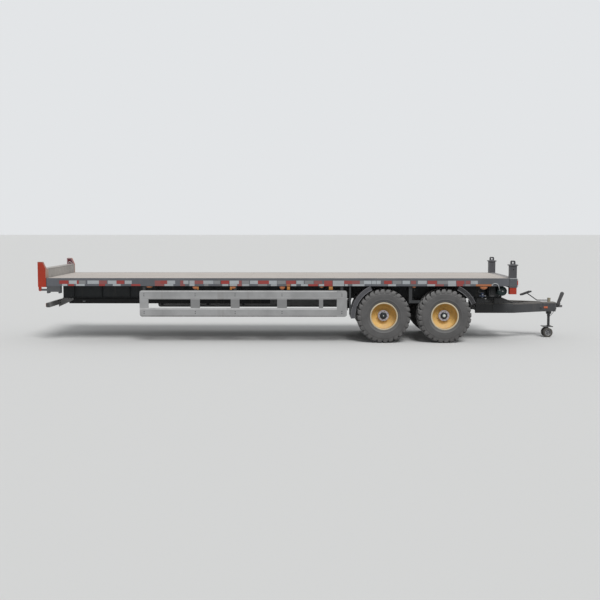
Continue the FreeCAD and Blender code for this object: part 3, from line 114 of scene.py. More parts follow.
def rgb(colour, scale=1.0):
    """A colour with its brightness scaled, ready for a colour socket."""
    return tuple(min(1.0, part * scale) for part in colour) + (1.0,)


# ------------------------------------------------------------------ finishes

# What shows where paint has run or chipped.
GRIME = (0.16, 0.14, 0.12)
BARE_STEEL = (0.14, 0.13, 0.12)
DULL_RED = (0.30, 0.12, 0.09)


class Finish:
    """A material whose colour, roughness and bump are built up layer by layer."""

    def __init__(self, name, colour, roughness, metallic=0.0, grain=0.12, size=2.2):
        self.material = bpy.data.materials.new(name)
        self.material.use_nodes = True
        self.tree = self.material.node_tree
        self.shader = self.tree.nodes["Principled BSDF"]
        self.shader.inputs["Metallic"].default_value = metallic
        self.place = wire(self.tree, "ShaderNodeTexCoord", out="Object")
        self.facing = wire(self.tree, "ShaderNodeSeparateXYZ", {
            "Vector": wire(self.tree, "ShaderNodeTexCoord", out="Normal")}, out="Z")
        self.height = self.along("Z")
        broad = self.noise(size, 4.0, 0.6)
        self.colour = tint(self.tree, fade(self.tree, broad, 0.3, 0.7),
                           rgb(colour, 1 - grain), rgb(colour, 1 + grain))
        self.roughness = fade(self.tree, self.noise(size * 9, 5.0, 0.7), 0.25, 0.75,
                              max(0.05, roughness - 0.1), min(1.0, roughness + 0.1))
        self.bumps = None

    def along(self, axis):
        """Place along the trailer's X, Y or Z, in metres."""
        return wire(self.tree, "ShaderNodeSeparateXYZ", {"Vector": self.place}, out=axis)

    def stored(self, name):
        """A number that the mesh carries at each point."""
        return wire(self.tree, "ShaderNodeAttribute", out="Fac", attribute_name=name)

    def noise(self, scale, detail, rough=0.5, stretch=None):
        """Cloudy pattern; scale is about the number of blotches to the metre."""
        place = self.place
        if stretch:
            place = wire(self.tree, "ShaderNodeMapping", {"Vector": place, "Scale": stretch})
        return wire(self.tree, "ShaderNodeTexNoise",
                    {"Vector": place, "Scale": scale, "Detail": detail, "Roughness": rough})

    def cells(self, scale, out):
        """Random patches: a colour to each, or the distance from its middle."""
        return wire(self.tree, "ShaderNodeTexVoronoi", {"Vector": self.place, "Scale": scale},
                    out=out)

    def layer(self, share, colour, roughness=None):
        """Covers the finish with another colour where share is 1."""
        self.colour = tint(self.tree, share, self.colour, rgb(colour))
        if roughness is not None:
            self.roughness = wire(self.tree, "ShaderNodeMix",
                                  {0: share, 2: self.roughness, 3: roughness})
        return self

    def dust(self, shade=(0.30, 0.27, 0.23), top=0.5, low=0.35, reach=1.3):
        """Road dust that lies on upper faces and thickens towards the ground."""
        cloud = fade(self.tree, self.noise(7.0, 6.0, 0.65), 0.35, 0.7)
        upper = times(self.tree, fade(self.tree, self.facing, 0.3, 0.95), top)
        lower = fade(self.tree, self.height, 0.05, reach, low, 0.0)
        amount = calc(self.tree, "MAXIMUM", upper, lower)
        amount = times(self.tree, amount, fade(self.tree, cloud, 0.0, 1.0, 0.35))
        return self.layer(amount, shade, 0.9)

    def chips(self, colour=(0.10, 0.055, 0.035), scale=28.0, rarity=0.70):
        """Small knocks through the paint, in loose groups."""
        small = self.noise(scale, 6.0, 0.75)
        group = fade(self.tree, self.noise(1.7, 2.0), 0.4, 0.65, -0.05, 0.06)
        worn = fade(self.tree, calc(self.tree, "ADD", small, group), rarity, rarity + 0.03,
                    0.0, 0.85)
        self.bump(worn, -0.25, 0.002)
        return self.layer(worn, colour, 0.85)

    def streaks(self, colour, share):
        """Faint marks where water has run down."""
        run = self.noise(9.0, 4.0, 0.6, stretch=(1.0, 1.0, 0.06))
        return self.layer(fade(self.tree, run, 0.56, 0.72, 0.0, share), colour)

    def bump(self, height, strength, distance):
        """Raises the surface by distance where height is 1, or sinks it at a strength below 0."""
        inputs = {"Height": height, "Strength": abs(strength), "Distance": distance}
        if self.bumps:
            inputs["Normal"] = self.bumps
        self.bumps = wire(self.tree, "ShaderNodeBump", inputs, invert=strength < 0)
        return self

    def texture(self, scale=90.0, strength=0.15, distance=0.001):
        """Fine unevenness of the coat or casting."""
        return self.bump(self.noise(scale, 3.0, 0.6), strength, distance)

    def done(self, **uniform):
        """Joins the layers to the shader; uniform values go straight on its sockets."""
        links = self.tree.links
        links.new(self.colour, self.shader.inputs["Base Color"])
        links.new(self.roughness, self.shader.inputs["Roughness"])
        if self.bumps:
            links.new(self.bumps, self.shader.inputs["Normal"])
        for name, value in uniform.items():
            self.shader.inputs[name.replace("_", " ")].default_value = value
        return self.material


def painted(name, colour, roughness, chip=(0.09, 0.05, 0.035), **dusting):
    """Brushed or sprayed paint on steel, dusty and chipped."""
    return (Finish(name, colour, roughness).streaks(GRIME, 0.22)
            .dust(**dusting).chips(chip).texture().done(Specular_IOR_Level=0.4))


def zinc(name, colour, spangle=0.25, **dusting):
    """Galvanised steel with its patchwork of crystals."""
    made = Finish(name, colour, 0.5, metallic=0.35, grain=0.08)
    patch = wire(made.tree, "ShaderNodeSeparateColor", {"Color": made.cells(55.0, "Color")})
    made.colour = tint(made.tree, times(made.tree, patch, spangle),
                       made.colour, rgb(colour, 1.7))
    return made.streaks((0.30, 0.29, 0.27), 0.3).dust(**dusting).texture(140.0, 0.1).done()


def timber_finish():
    """Pale weathered boards: long grain, a tone to each board, scuffs and dark specks."""
    made = Finish("weathered_deck_timber", (0.52, 0.485, 0.45), 0.75, grain=0.05, size=0.9)
    tree = made.tree
    made.layer(fade(tree, made.stored("tone"), 0.0, 1.0, 0.0, 0.55), (0.60, 0.53, 0.48))
    grain = made.noise(16.0, 7.0, 0.7, stretch=(0.05, 3.0, 3.0))
    made.layer(fade(tree, grain, 0.5, 0.75, 0.0, 0.45), (0.36, 0.32, 0.28))
    fine = made.noise(60.0, 4.0, 0.8, stretch=(0.03, 4.0, 4.0))
    made.layer(fade(tree, fine, 0.55, 0.8, 0.0, 0.35), (0.66, 0.62, 0.58))
    stain = made.noise(1.3, 6.0, 0.65, stretch=(0.5, 1.0, 1.0))
    made.layer(fade(tree, stain, 0.6, 0.8, 0.0, 0.4), (0.30, 0.27, 0.24))
    made.layer(fade(tree, made.noise(45.0, 2.0, 0.4), 0.74, 0.78, 0.0, 0.7), (0.12, 0.10, 0.09))
    made.bump(grain, 0.35, 0.002).bump(fine, 0.2, 0.001)
    return made.done(Specular_IOR_Level=0.25)


def rubber_finish():
    """Grey tyre rubber: dust on the walls, bar tops worn pale with a painted highlight, painted shade between the
    bars.

    The mesh carries its reach, the distance from the axle line, and where the bars are.
    """
    made = Finish("dusty_tyre_rubber", (0.104, 0.102, 0.101), 0.8, grain=0.12, size=4.0)
    tree = made.tree
    reach, bar = made.stored("reach"), made.stored("bar")
    cloud = fade(tree, made.noise(9.0, 6.0, 0.7), 0.3, 0.7)
    wall = times(tree, fade(tree, reach, 0.42, 0.52), 0.3)
    made.layer(times(tree, cloud, wall), (0.19, 0.18, 0.175), 0.95)
    # Paler on upward faces: dust, and painted light from above.
    made.layer(fade(tree, made.facing, 0.0, 0.45, 0.0, 0.42), (0.21, 0.207, 0.203))
    # Painted shade low in the tread, between the bars.
    groove = times(tree, fade(tree, reach, 0.522, 0.550),
                   calc(tree, "SUBTRACT", 1.0, bar))
    made.layer(times(tree, groove, 0.75), (0.034, 0.033, 0.033))
    # Painted highlight on the bars over the shoulder.
    shoulder_highlight = times(tree, fade(tree, reach, 0.520, 0.572, 0.0, 0.38), bar)
    made.layer(shoulder_highlight, (0.205, 0.203, 0.20))
    # Bar tops paler: worn rubber, and a painted highlight.
    crown = times(tree, fade(tree, reach, 0.570, 0.584), bar)
    made.layer(times(tree, crown, 0.8), (0.42, 0.415, 0.41))
    ring_pitch = 0.016
    rings = calc(tree, "SINE", times(tree, reach, 2 * math.pi / ring_pitch))
    walls_only = times(tree, rings, fade(tree, reach, 0.50, 0.47))
    made.bump(walls_only, 0.12, 0.001).texture(120.0, 0.3, 0.0015)
    return made.done(Specular_IOR_Level=0.4)


def tape_finish():
    """Red and white reflective tape with a small cell pattern, scuffed and dirty."""
    made = Finish("reflective_tape", (0.43, 0.46, 0.475), 0.35, grain=0.06, size=6.0)
    tree = made.tree
    red, worn = made.stored("red"), made.stored("worn")
    made.layer(calc(tree, "GREATER_THAN", red, 0.5), (0.31, 0.030, 0.024))
    made.layer(calc(tree, "GREATER_THAN", red, 1.5), (0.45, 0.13, 0.025))
    cells = made.cells(240.0, "Distance")
    dim = fade(tree, cells, 0.35, 0.5, 0.0, 0.22)
    made.layer(times(tree, dim, calc(tree, "LESS_THAN", red, 0.5)), (0.28, 0.29, 0.30))
    made.layer(times(tree, worn, 0.72), (0.145, 0.14, 0.14), 0.7)
    scuff = made.noise(22.0, 6.0, 0.75, stretch=(0.5, 1.0, 2.5))
    made.layer(fade(tree, scuff, 0.60, 0.70, 0.0, 0.5), (0.16, 0.13, 0.12), 0.8)
    made.bump(cells, 0.1, 0.0005)
    return made.done(Coat_Weight=0.2)


def stripes_finish():
    """Slanting red and white warning bands on sheet aluminium."""
    made = Finish("banded_board", (0.50, 0.50, 0.49), 0.4, grain=0.06)
    tree, pitch = made.tree, 0.2
    slant = calc(tree, "ADD", calc(tree, "ABSOLUTE", made.along("Y")), made.height)
    band = calc(tree, "FRACT", times(tree, slant, 1 / pitch))
    made.layer(calc(tree, "GREATER_THAN", band, 0.5), (0.46, 0.045, 0.03))
    return made.dust(top=0.3, low=0.1).chips((0.30, 0.29, 0.28)).texture(60.0, 0.1).done()


def lens_finish(name, colour):
    """Moulded lamp lens with fine ribs behind a clear skin."""
    made = Finish(name, colour, 0.28, grain=0.15, size=30.0)
    tree = made.tree
    slant = calc(tree, "ADD", made.along("X"), made.along("Y"))
    ribs = calc(tree, "SINE", times(tree, slant, 700.0))
    made.layer(fade(tree, ribs, -0.2, 1.0, 0.0, 0.3), tuple(part * 0.45 for part in colour))
    made.dust(top=0.3, low=0.25).bump(ribs, 0.3, 0.0015)
    return made.done(Coat_Weight=0.6, Coat_Roughness=0.1)


def plastic_finish(name, colour, roughness, **dusting):
    """Moulded plastic with a fine leathery texture."""
    made = Finish(name, colour, roughness, grain=0.08)
    scuff = made.noise(14.0, 6.0, 0.8)
    made.layer(fade(made.tree, scuff, 0.6, 0.72, 0.0, 0.3), tuple(part * 1.5 for part in colour))
    return made.dust(**dusting).texture(210.0, 0.3).done(Specular_IOR_Level=0.35)


def mudguard_finish():
    """Grey moulded mudguards, blacker ahead of the front wheels as painted shade."""
    made = Finish("mudguard_plastic", (0.072, 0.072, 0.079), 0.5, grain=0.1)
    tree, front = made.tree, middle_of("tyre_front_left").x
    # Painted shade: the mudguards ahead of the front wheels darker.
    made.layer(fade(tree, made.along("X"), front - 0.772, front + 0.028), (0.026, 0.026, 0.028))
    made.layer(fade(tree, made.noise(14.0, 6.0, 0.8), 0.58, 0.72, 0.0, 0.35), (0.12, 0.12, 0.125))
    made.dust((0.20, 0.19, 0.18), 0.5, 0.1)
    return made.texture(210.0, 0.3).done(Specular_IOR_Level=0.4)


def guard_finish():
    """Grey aluminium, a painted highlight along the top of each rail, painted shade below and on the posts."""
    made = Finish("pale_guard_extrusion", (0.335, 0.336, 0.336), 0.42)
    tree, height, along = made.tree, made.height, made.along("X")
    low, high = lo_hi("side_guard_rails")
    back, front = low.x + 0.20, high.x - 0.23  # inner edges of the end posts

    def band(value, start, end, ease=0.004):
        """1 between start and end."""
        return times(tree, fade(tree, value, start, start + ease),
                     fade(tree, value, end, end - ease))

    made.streaks(GRIME, 0.22)
    # Painted shade on the posts, which sit back behind the rails.
    between_rails = band(height, low.z + 0.191, high.z - 0.191)
    posts = times(tree, between_rails, band(along, back, front))
    made.layer(times(tree, posts, 0.85), (0.215, 0.215, 0.214))
    cloud = fade(tree, made.noise(5.0, 5.0, 0.7), 0.3, 0.6, 0.55, 1.0)
    cloud = times(tree, cloud, fade(tree, along, front + 0.020, front))
    # Painted highlight: a pale band along the top of each rail, broken up by the cloud.
    for start, share in ((low.z + 0.149, 0.85), (high.z - 0.040, 0.60)):
        made.layer(times(tree, band(height, start, start + 0.0425, 0.012),
                         times(tree, cloud, share)), (0.60, 0.60, 0.595))
    # Painted shade along the underside of the lower rail.
    foot = fade(tree, height, low.z + 0.045, low.z + 0.005, 0.0, 0.65)
    made.layer(times(tree, foot, cloud), (0.115, 0.111, 0.104))
    made.dust((0.50, 0.48, 0.45), 0.5, 0.05, 1.1).chips((0.22, 0.21, 0.20))
    return made.texture().done(Specular_IOR_Level=0.4)


def red_finish():
    """Orange-red paint, run with darker streaks and rubbed pale on top."""
    made = Finish("red_tail_paint", (0.38, 0.034, 0.013), 0.45, grain=0.08)
    made.streaks((0.20, 0.022, 0.012), 0.45).dust((0.50, 0.30, 0.25), 0.5, 0.0)
    return made.chips((0.42, 0.22, 0.17), 26.0, 0.71).texture().done(Specular_IOR_Level=0.4)


def rim_finish():
    """Ochre wheel paint, browner where brake dust settles."""
    made = Finish("ochre_rim_paint", (0.71, 0.455, 0.120), 0.5, grain=0.08, size=5.0)
    cloud = fade(made.tree, made.noise(6.0, 6.0, 0.7), 0.45, 0.75, 0.0, 0.4)
    made.layer(cloud, (0.60, 0.35, 0.075)).dust((0.52, 0.39, 0.27), 0.9, 0.75, 0.85)
    return made.chips((0.12, 0.06, 0.03), 40.0, 0.72).texture(110.0, 0.2).done()


def drawbar_finish():
    """Dark chassis grey, paler towards the nose (painted shade under the deck), dust and a painted top-edge
    highlight.
    """
    made = Finish("drawbar_paint", (0.020, 0.021, 0.022), 0.5)
    tree, along = made.tree, made.along("X")
    tip, top = lo_hi("drawbar_legs")[1].x, lo_hi("drawbar_legs")[1].z
    # Painted shade: darker under the deck, paler where the nose stands out ahead of it.
    made.layer(fade(tree, along, tip - 1.09, tip - 0.39), (0.056, 0.058, 0.062))
    made.streaks((0.12, 0.11, 0.10), 0.3)
    # Painted highlight along the top edges, stronger towards the nose; the rubbed mask carries it.
    rubbed = times(tree, fade(tree, made.height, top - 0.034, top - 0.008),
                   fade(tree, made.noise(7.0, 5.0, 0.7), 0.35, 0.55, 0.5))
    made.layer(times(tree, rubbed, fade(tree, along, tip - 1.04, tip - 0.54, 0.1, 0.8)),
               (0.23, 0.215, 0.20))
    made.dust((0.30, 0.275, 0.25), 0.6, 0.05).chips()
    return made.texture().done(Specular_IOR_Level=0.4)


def jack_finish():
    """Cream zinc at the head of the jack, greasy and dark below its clamp."""
    made = Finish("jack_tube_zinc", (0.30, 0.27, 0.20), 0.45, metallic=0.15, grain=0.1)
    top = lo_hi("jack_housing")[1].z
    made.layer(fade(made.tree, made.height, top - 0.087, top - 0.117), (0.032, 0.032, 0.033), 0.4)
    made.streaks((0.13, 0.10, 0.07), 0.4).chips((0.12, 0.06, 0.03), 40.0, 0.72)
    return made.texture(140.0, 0.12).done()


FINISHES = {
    "chassis_paint": painted("dark_chassis_paint", (0.028, 0.032, 0.034), 0.55,
                             top=0.25, low=0.1, shade=(0.11, 0.10, 0.09)),
    "rail_paint": painted("blue_grey_rail_paint", (0.110, 0.115, 0.127), 0.5,
                          top=0.75, low=0.0, shade=(0.50, 0.46, 0.43)),
    "deck_timber": timber_finish(),
    "drawbar_paint": drawbar_finish(),
    "post_paint": painted("violet_grey_post_paint", (0.068, 0.068, 0.074), 0.5, top=0.6,
                          low=0.0, shade=(0.30, 0.29, 0.29)),
    "red_paint": red_finish(),
    "board_stripes": stripes_finish(),
    "tail_aluminium": painted("pale_tail_sheet", (0.385, 0.363, 0.34), 0.5, (0.20, 0.18, 0.16),
                              top=0.4, low=0.0, shade=(0.45, 0.41, 0.37)),
    "guard_aluminium": guard_finish(),
    "galvanised": zinc("galvanised_steel", (0.078, 0.080, 0.083), top=0.4, low=0.1),
    "spring_steel": painted("spring_steel", (0.05, 0.045, 0.042), 0.6, (0.16, 0.08, 0.04),
                            top=0.3, low=0.2, shade=(0.15, 0.12, 0.10)),
    "tyre_rubber": rubber_finish(),
    "rim_paint": rim_finish(),
    "hub_cast": painted("pale_hub_casting", (0.43, 0.41, 0.45), 0.5, (0.16, 0.12, 0.10),
                        top=0.3, low=0.1, reach=0.8),
    "eye_cast": painted("forged_eye", (0.12, 0.12, 0.125), 0.5, (0.15, 0.08, 0.05), top=0.3),
    "guard_plastic": mudguard_finish(),
    "box_plastic": plastic_finish("tool_box_plastic", (0.017, 0.018, 0.019), 0.6, top=0.25,
                                  low=0.03),
    "tank_paint": painted("teal_tank_paint", (0.007, 0.021, 0.021), 0.5, top=0.15, low=0.0,
                          shade=(0.10, 0.10, 0.095)),
    "amber_lens": lens_finish("amber_lens", (0.50, 0.155, 0.040)),
    "red_lens": lens_finish("red_lens", (0.50, 0.02, 0.015)),
    "jack_zinc": jack_finish(),
    "jockey_rubber": plastic_finish("jockey_wheel_rubber", (0.055, 0.054, 0.053), 0.85,
                                    top=0.2, low=0.3, reach=0.5),
}

# Finishes of single pieces. PALE_EDGE serves the sleeve mouths and the looped air pipe,
# BRIGHT_ZINC the small bright fittings, HANGER_GREY also the nose bosses.
# Near-black on the line duct and its pipes: painted shade under the deck.
DUCT_DARK = painted("duct_paint", (0.0105, 0.0110, 0.0115), 0.6, (0.03, 0.02, 0.015), top=0.08,
                    low=0.0, shade=(0.03, 0.03, 0.03))
DULL_STEEL = painted("dull_grey_steel", (0.034, 0.036, 0.038), 0.5, top=0.4, low=0.05,
                     shade=(0.17, 0.16, 0.15))
BRACKET_GREY = painted("worn_grey_bracket", (0.080, 0.083, 0.087), 0.5, (0.16, 0.15, 0.14),
                       top=0.5, low=0.0, shade=(0.24, 0.23, 0.22))
# Pale tops on the underrun caps: dust, and painted light where the tail shades them.
UNDERRUN_GREY = painted("worn_underrun_grey", (0.060, 0.060, 0.059), 0.5, BARE_STEEL,
                        top=0.9, low=0.0, shade=(0.38, 0.365, 0.345))
# The underrun bar's pale grey is painted light, making up for the shade under the tail.
BAR_GREY = painted("rubbed_bar_grey", (0.26, 0.26, 0.25), 0.5, BARE_STEEL, top=0.6,
                   low=0.0, shade=(0.33, 0.32, 0.30))
# The underrun arms' pale grey is painted light, making up for the shade under the tail.
ARM_GREY = painted("worn_arm_grey", (0.27, 0.267, 0.262), 0.5, BARE_STEEL, top=0.5,
                   low=0.0, shade=(0.22, 0.21, 0.20))
HANGER_GREY = painted("worn_hanger_grey", (0.060, 0.061, 0.062), 0.5, BARE_STEEL,
                      top=0.5, low=0.0, shade=(0.22, 0.21, 0.20))
SLEEVE_GREY = painted("sleeve_blue_grey", (0.084, 0.092, 0.100), 0.5, top=0.8, low=0.0,
                      shade=(0.42, 0.40, 0.38))
RIM_EDGE = painted("pale_rim_edge", (0.58, 0.50, 0.36), 0.5, (0.2, 0.12, 0.06), top=0.2, low=0.1)
CAP_BLACK = painted("greasy_cap", (0.016, 0.021, 0.026), 0.3, (0.2, 0.19, 0.18), top=0.1,
                    low=0.0)
# The pale plug in each grease cap is a painted highlight.
CAP_GLINT = painted("pale_cap_plug", (0.62, 0.67, 0.64), 0.35, (0.3, 0.3, 0.3), top=0.1, low=0.0)
TAPE = tape_finish()
CLIP_ORANGE = painted("orange_clip_paint", (0.46, 0.20, 0.05), 0.45, top=0.3, low=0.0)
EAR_RED = painted("dark_red_ring", (0.15, 0.030, 0.045), 0.5, top=0.1, low=0.0)
EAR_INSIDE = painted("maroon_recess", (0.095, 0.020, 0.036), 0.55, top=0.1, low=0.0)
EAR_BORDER = painted("pink_grey_border", (0.26, 0.175, 0.19), 0.5, DULL_RED, top=0.2,
                     low=0.0)
TAIL_EDGE = painted("rubbed_red_edge", (0.42, 0.275, 0.215), 0.5, DULL_RED, top=0.2,
                    low=0.0)
CLEAR_LENS = lens_finish("clear_lens", (0.55, 0.55, 0.53))
NOSE_ORANGE = lens_finish("orange_nose_reflector", (0.62, 0.12, 0.03))
# Pale rims of the mudguards: a painted highlight along their rolled edges.
GUARD_RIM = plastic_finish("mudguard_rolled_rim", (0.17, 0.17, 0.18), 0.5, top=0.4, low=0.2)
PLATE_GREY = painted("dusty_cover_plate", (0.15, 0.142, 0.135), 0.55, (0.09, 0.06, 0.05), top=0.6,
                     low=0.0, shade=(0.24, 0.225, 0.21))
SIDE_GREY = painted("dark_side_plate", (0.036, 0.038, 0.040), 0.5, (0.10, 0.07, 0.05), top=0.6,
                    low=0.05, shade=(0.24, 0.225, 0.21))
BRACE_GREY = painted("dusty_brace", (0.12, 0.12, 0.12), 0.55, (0.09, 0.06, 0.05), top=0.6,
                     low=0.0, shade=(0.24, 0.23, 0.22))
PALE_EDGE = painted("pale_mouth_edge", (0.42, 0.43, 0.44), 0.45, top=0.3, low=0.0)
CAP_GREY = painted("pale_cap_paint", (0.13, 0.13, 0.14), 0.5, top=0.6, low=0.0,
                   shade=(0.36, 0.35, 0.34))
BRIGHT_ZINC = zinc("bright_zinc", (0.30, 0.30, 0.31), 0.1, top=0.2, low=0.05)
VALVE_BLUE = painted("blue_grey_valve", (0.035, 0.05, 0.095), 0.45, (0.2, 0.2, 0.2), top=0.3,
                     low=0.0)
LEVER_GREY = painted("lever_grey_paint", (0.068, 0.066, 0.068), 0.45, (0.2, 0.19, 0.18), top=0.4,
                     low=0.0, shade=(0.24, 0.23, 0.22))
GRIP_RUBBER = plastic_finish("grip_rubber", (0.05, 0.05, 0.052), 0.7, top=0.3, low=0.0)

# The frame's nodes wear the finish of their slot, but for those named here.
REPAINTED = {
    "line_duct": DUCT_DARK, "mudguard_stays": DULL_STEEL, "side_guard_arms": DULL_STEEL,
    "jack_crank": DULL_STEEL, "hinge_brackets": BRACKET_GREY, "underrun_bar": BAR_GREY,
    "underrun_arms": ARM_GREY, "drawbar_hangers": HANGER_GREY, "corner_sleeves": SLEEVE_GREY,
}
for name, node in frame["nodes"].items():
    for place in node.material_slots:
        slot = place.material.name.split(".")[0]
        place.material = REPAINTED.get(name) or FINISHES.get(slot, place.material)


# ------------------------------------------------------------------ making shapes

def arc(start, end, steps):
    """Angles from start to end in degrees, as radians."""
    return [math.radians(start + (end - start) * i / steps) for i in range(steps + 1)]


def circle(radius, sides):
    """Points round a circle, as pairs."""
    turns = [2 * math.pi * i / sides for i in range(sides)]
    return [(radius * math.cos(turn), radius * math.sin(turn)) for turn in turns]


def curved(path):
    """Smooth run of points through every point of a path."""
    steps = 4
    ends = [Vector(point) for point in (path[0], *path, path[-1])]
    run = []
    for a, b, c, d in zip(ends, ends[1:], ends[2:], ends[3:]):
        for i in range(steps):
            t = i / steps
            run.append(0.5 * (2 * b + (c - a) * t + (2 * a - 5 * b + 4 * c - d) * t ** 2
                              + (3 * b - a - 3 * c + d) * t ** 3))
    return run + [ends[-1]]


class Shape:
    """A mesh built from machined, bent and turned bits."""

    def __init__(self):
        self.mesh = bmesh.new()

    def corners(self, places):
        """Adds a row of corners."""
        return [self.mesh.verts.new(place) for place in places]

    def skin(self, rows, ring=False, ends=False):
        """Faces from row to row; ring joins the last row to the first, ends closes both."""
        for a, b in zip(rows, rows[1:] + rows[:1] if ring else rows[1:]):
            for i in range(max(len(a), len(b))):
                quad = [row[k % len(row)] for row, k in ((a, i), (a, i + 1), (b, i + 1), (b, i))]
                self.mesh.faces.new(list(dict.fromkeys(quad)))  # three corners at a point
        if ends:
            self.mesh.faces.new(list(reversed(rows[0])))
            self.mesh.faces.new(rows[-1])
        return self

    def eased(self, edges, bevel, steps):
        """Rounds edges off, unless bevel is 0."""
        if bevel:
            bmesh.ops.bevel(self.mesh, geom=list(dict.fromkeys(edges)), offset=bevel,
                            segments=steps, affect="EDGES", profile=0.5, clamp_overlap=True)
        return self

    def block(self, first, second, bevel=0.003):
        """Block between two opposite corners, its edges eased."""
        low, high = (Vector([pick(pair) for pair in zip(first, second)]) for pick in (min, max))
        matrix = (Matrix.Translation((low + high) / 2)
                  @ Matrix.Diagonal((high - low).to_4d()))
        made = bmesh.ops.create_cube(self.mesh, size=1.0, matrix=matrix)
        return self.eased([edge for corner in made["verts"] for edge in corner.link_edges],
                          bevel, 2)

    def rod(self, start, end, radius, sides, bevel=0.0, tip=None):
        """Bar between two points, or a cone where tip gives the radius at its end."""
        start, end = Vector(start), Vector(end)
        along = end - start
        matrix = (Matrix.Translation((start + end) / 2)
                  @ along.to_track_quat("Z", "Y").to_matrix().to_4x4())
        made = bmesh.ops.create_cone(self.mesh, cap_ends=True, segments=sides,
                                     radius1=radius, radius2=radius if tip is None else tip,
                                     depth=along.length, matrix=matrix)
        caps = [face for corner in made["verts"] for face in corner.link_faces
                if len(face.verts) == sides]
        return self.eased([edge for face in caps for edge in face.edges], bevel, 2)

    def turned(self, profile, centre, axis="Y", sides=48, closed=True, way=1):
        """Outline of (reach, radius) pairs turned about an axis through centre.

        The reach runs along the axis, or against it where way is -1. A closed outline has
        its last pair joined to its first; an open one ends at the axis.
        """
        along, out, side = {"X": (X, Y, Z), "Y": (Y, Z, X), "Z": (Z, X, Y)}[axis]
        rings = []
        for reach, radius in profile:
            spot = Vector(centre) + along * way * reach
            ring = circle(radius, sides) if radius else [(0.0, 0.0)]
            rings.append(self.corners(spot + out * a + side * b for a, b in ring))
        return self.skin(rings, ring=closed)

    def level(self, outline, height, axis):
        """Row of corners from an outline in the other two axes, at a height along axis."""
        index = "XYZ".index(axis)
        return self.corners((*pair[:index], height, *pair[index:]) for pair in outline)

    def plate(self, outline, low, high, axis="Y", bevel=0.0):
        """Flat outline given in the other two axes, with a thickness along axis."""
        rows = [self.level(outline, height, axis) for height in (low, high)]
        self.skin(rows, ends=True)
        return self.eased([edge for corner in rows[0] + rows[1] for edge in corner.link_edges],
                          bevel, 1)

    def border(self, outer, inner, low, high, axis="Y", bevel=0.0):
        """Flat ring between two outlines of as many points, with a thickness along axis."""
        rows = [self.level(outline, height, axis) for outline, height in
                ((outer, low), (outer, high), (inner, high), (inner, low))]
        self.skin(rows, ring=True)
        return self.eased([edge for row in rows for corner in row for edge in corner.link_edges],
                          bevel, 1)

    def framed(self, low, high, wall, bevel, axis="Z"):
        """Rectangular frame between two corners, open along axis."""
        low, high = list(low), list(high)
        index = "XYZ".index(axis)
        start, end = low.pop(index), high.pop(index)
        outlines = [[(low[0] + w, low[1] + w), (high[0] - w, low[1] + w),
                     (high[0] - w, high[1] - w), (low[0] + w, high[1] - w)] for w in (0.0, wall)]
        return self.border(*outlines, start, end, axis, bevel)

    def holed(self, outline, centre, radius, low, high):
        """Upright plate with a round hole: outline and centre in x and z, outline convex."""
        middle, steps = Vector(centre), 40
        corners = [Vector(point) - middle for point in outline]
        turns = sorted([math.atan2(point.y, point.x) for point in corners]
                       + [2 * math.pi * i / steps - math.pi + 0.01 for i in range(steps)])
        outer, inner = [], []
        for turn in turns:
            ray = Vector((math.cos(turn), math.sin(turn)))
            reaches = []
            for a, b in zip(corners, corners[1:] + corners[:1]):
                across = ray.cross(b - a)
                if abs(across) > 1e-9:  # not alongside the ray
                    reaches.append(a.cross(b - a) / across)
            outer.append(middle + ray * min(reach for reach in reaches if reach > 0))
            inner.append(middle + ray * radius)
        return self.border(outer, inner, low, high)

    def tube(self, path, radius, sides=12):
        """Round bar bent along a path; radius is a number, or one for each point."""
        path = [Vector(point) for point in path]
        radii = radius if isinstance(radius, list) else [radius] * len(path)
        rows = []
        for i, (point, size) in enumerate(zip(path, radii)):
            ahead = (path[min(i + 1, len(path) - 1)] - path[max(i - 1, 0)]).normalized()
            across = ahead.cross(Z if abs(ahead.z) < 0.95 else X).normalized()
            upward = across.cross(ahead)
            rows.append(self.corners(point + across * a + upward * b
                                     for a, b in circle(size, sides)))
        return self.skin(rows, ends=True)

    def mesh_named(self, name):
        """The shape as a plain mesh with its faces pointing outwards."""
        bmesh.ops.remove_doubles(self.mesh, verts=self.mesh.verts, dist=1e-6)
        bmesh.ops.recalc_face_normals(self.mesh, faces=self.mesh.faces)
        made = bpy.data.meshes.new(name)
        self.mesh.to_mesh(made)
        self.mesh.free()
        return made


def placed(name, mesh):
    """An object of the scene, made from a mesh."""
    made = bpy.data.objects.new(name, mesh)
    bpy.context.scene.collection.objects.link(made)
    return made


def piece(name, mesh, slot, body, stands_for=(), smooth=35.0, finish=None):
    """Puts a finished mesh on the trailer: its paint, its moving part, what it stands for."""
    if isinstance(mesh, Shape):
        mesh = mesh.mesh_named(name)
    made = placed(name, mesh)
    if finish is not None or not mesh.materials:
        mesh.materials.clear()
        mesh.materials.append(finish or FINISHES[slot])
    mesh.shade_smooth()
    mesh.set_sharp_from_angle(angle=math.radians(smooth))
    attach(made, body)
    if stands_for:
        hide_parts(*stands_for)
    return made


def joined(*meshes):
    """Several meshes as one, keeping their attributes."""
    makers = [placed("joined_part", mesh) for mesh in meshes]
    with bpy.context.temp_override(active_object=makers[0], object=makers[0],
                                   selected_objects=makers,
                                   selected_editable_objects=makers):
        bpy.ops.object.join()
    mesh = makers[0].data
    bpy.data.objects.remove(makers[0])
    return mesh


# ------------------------------------------------------------------ repeated shapes

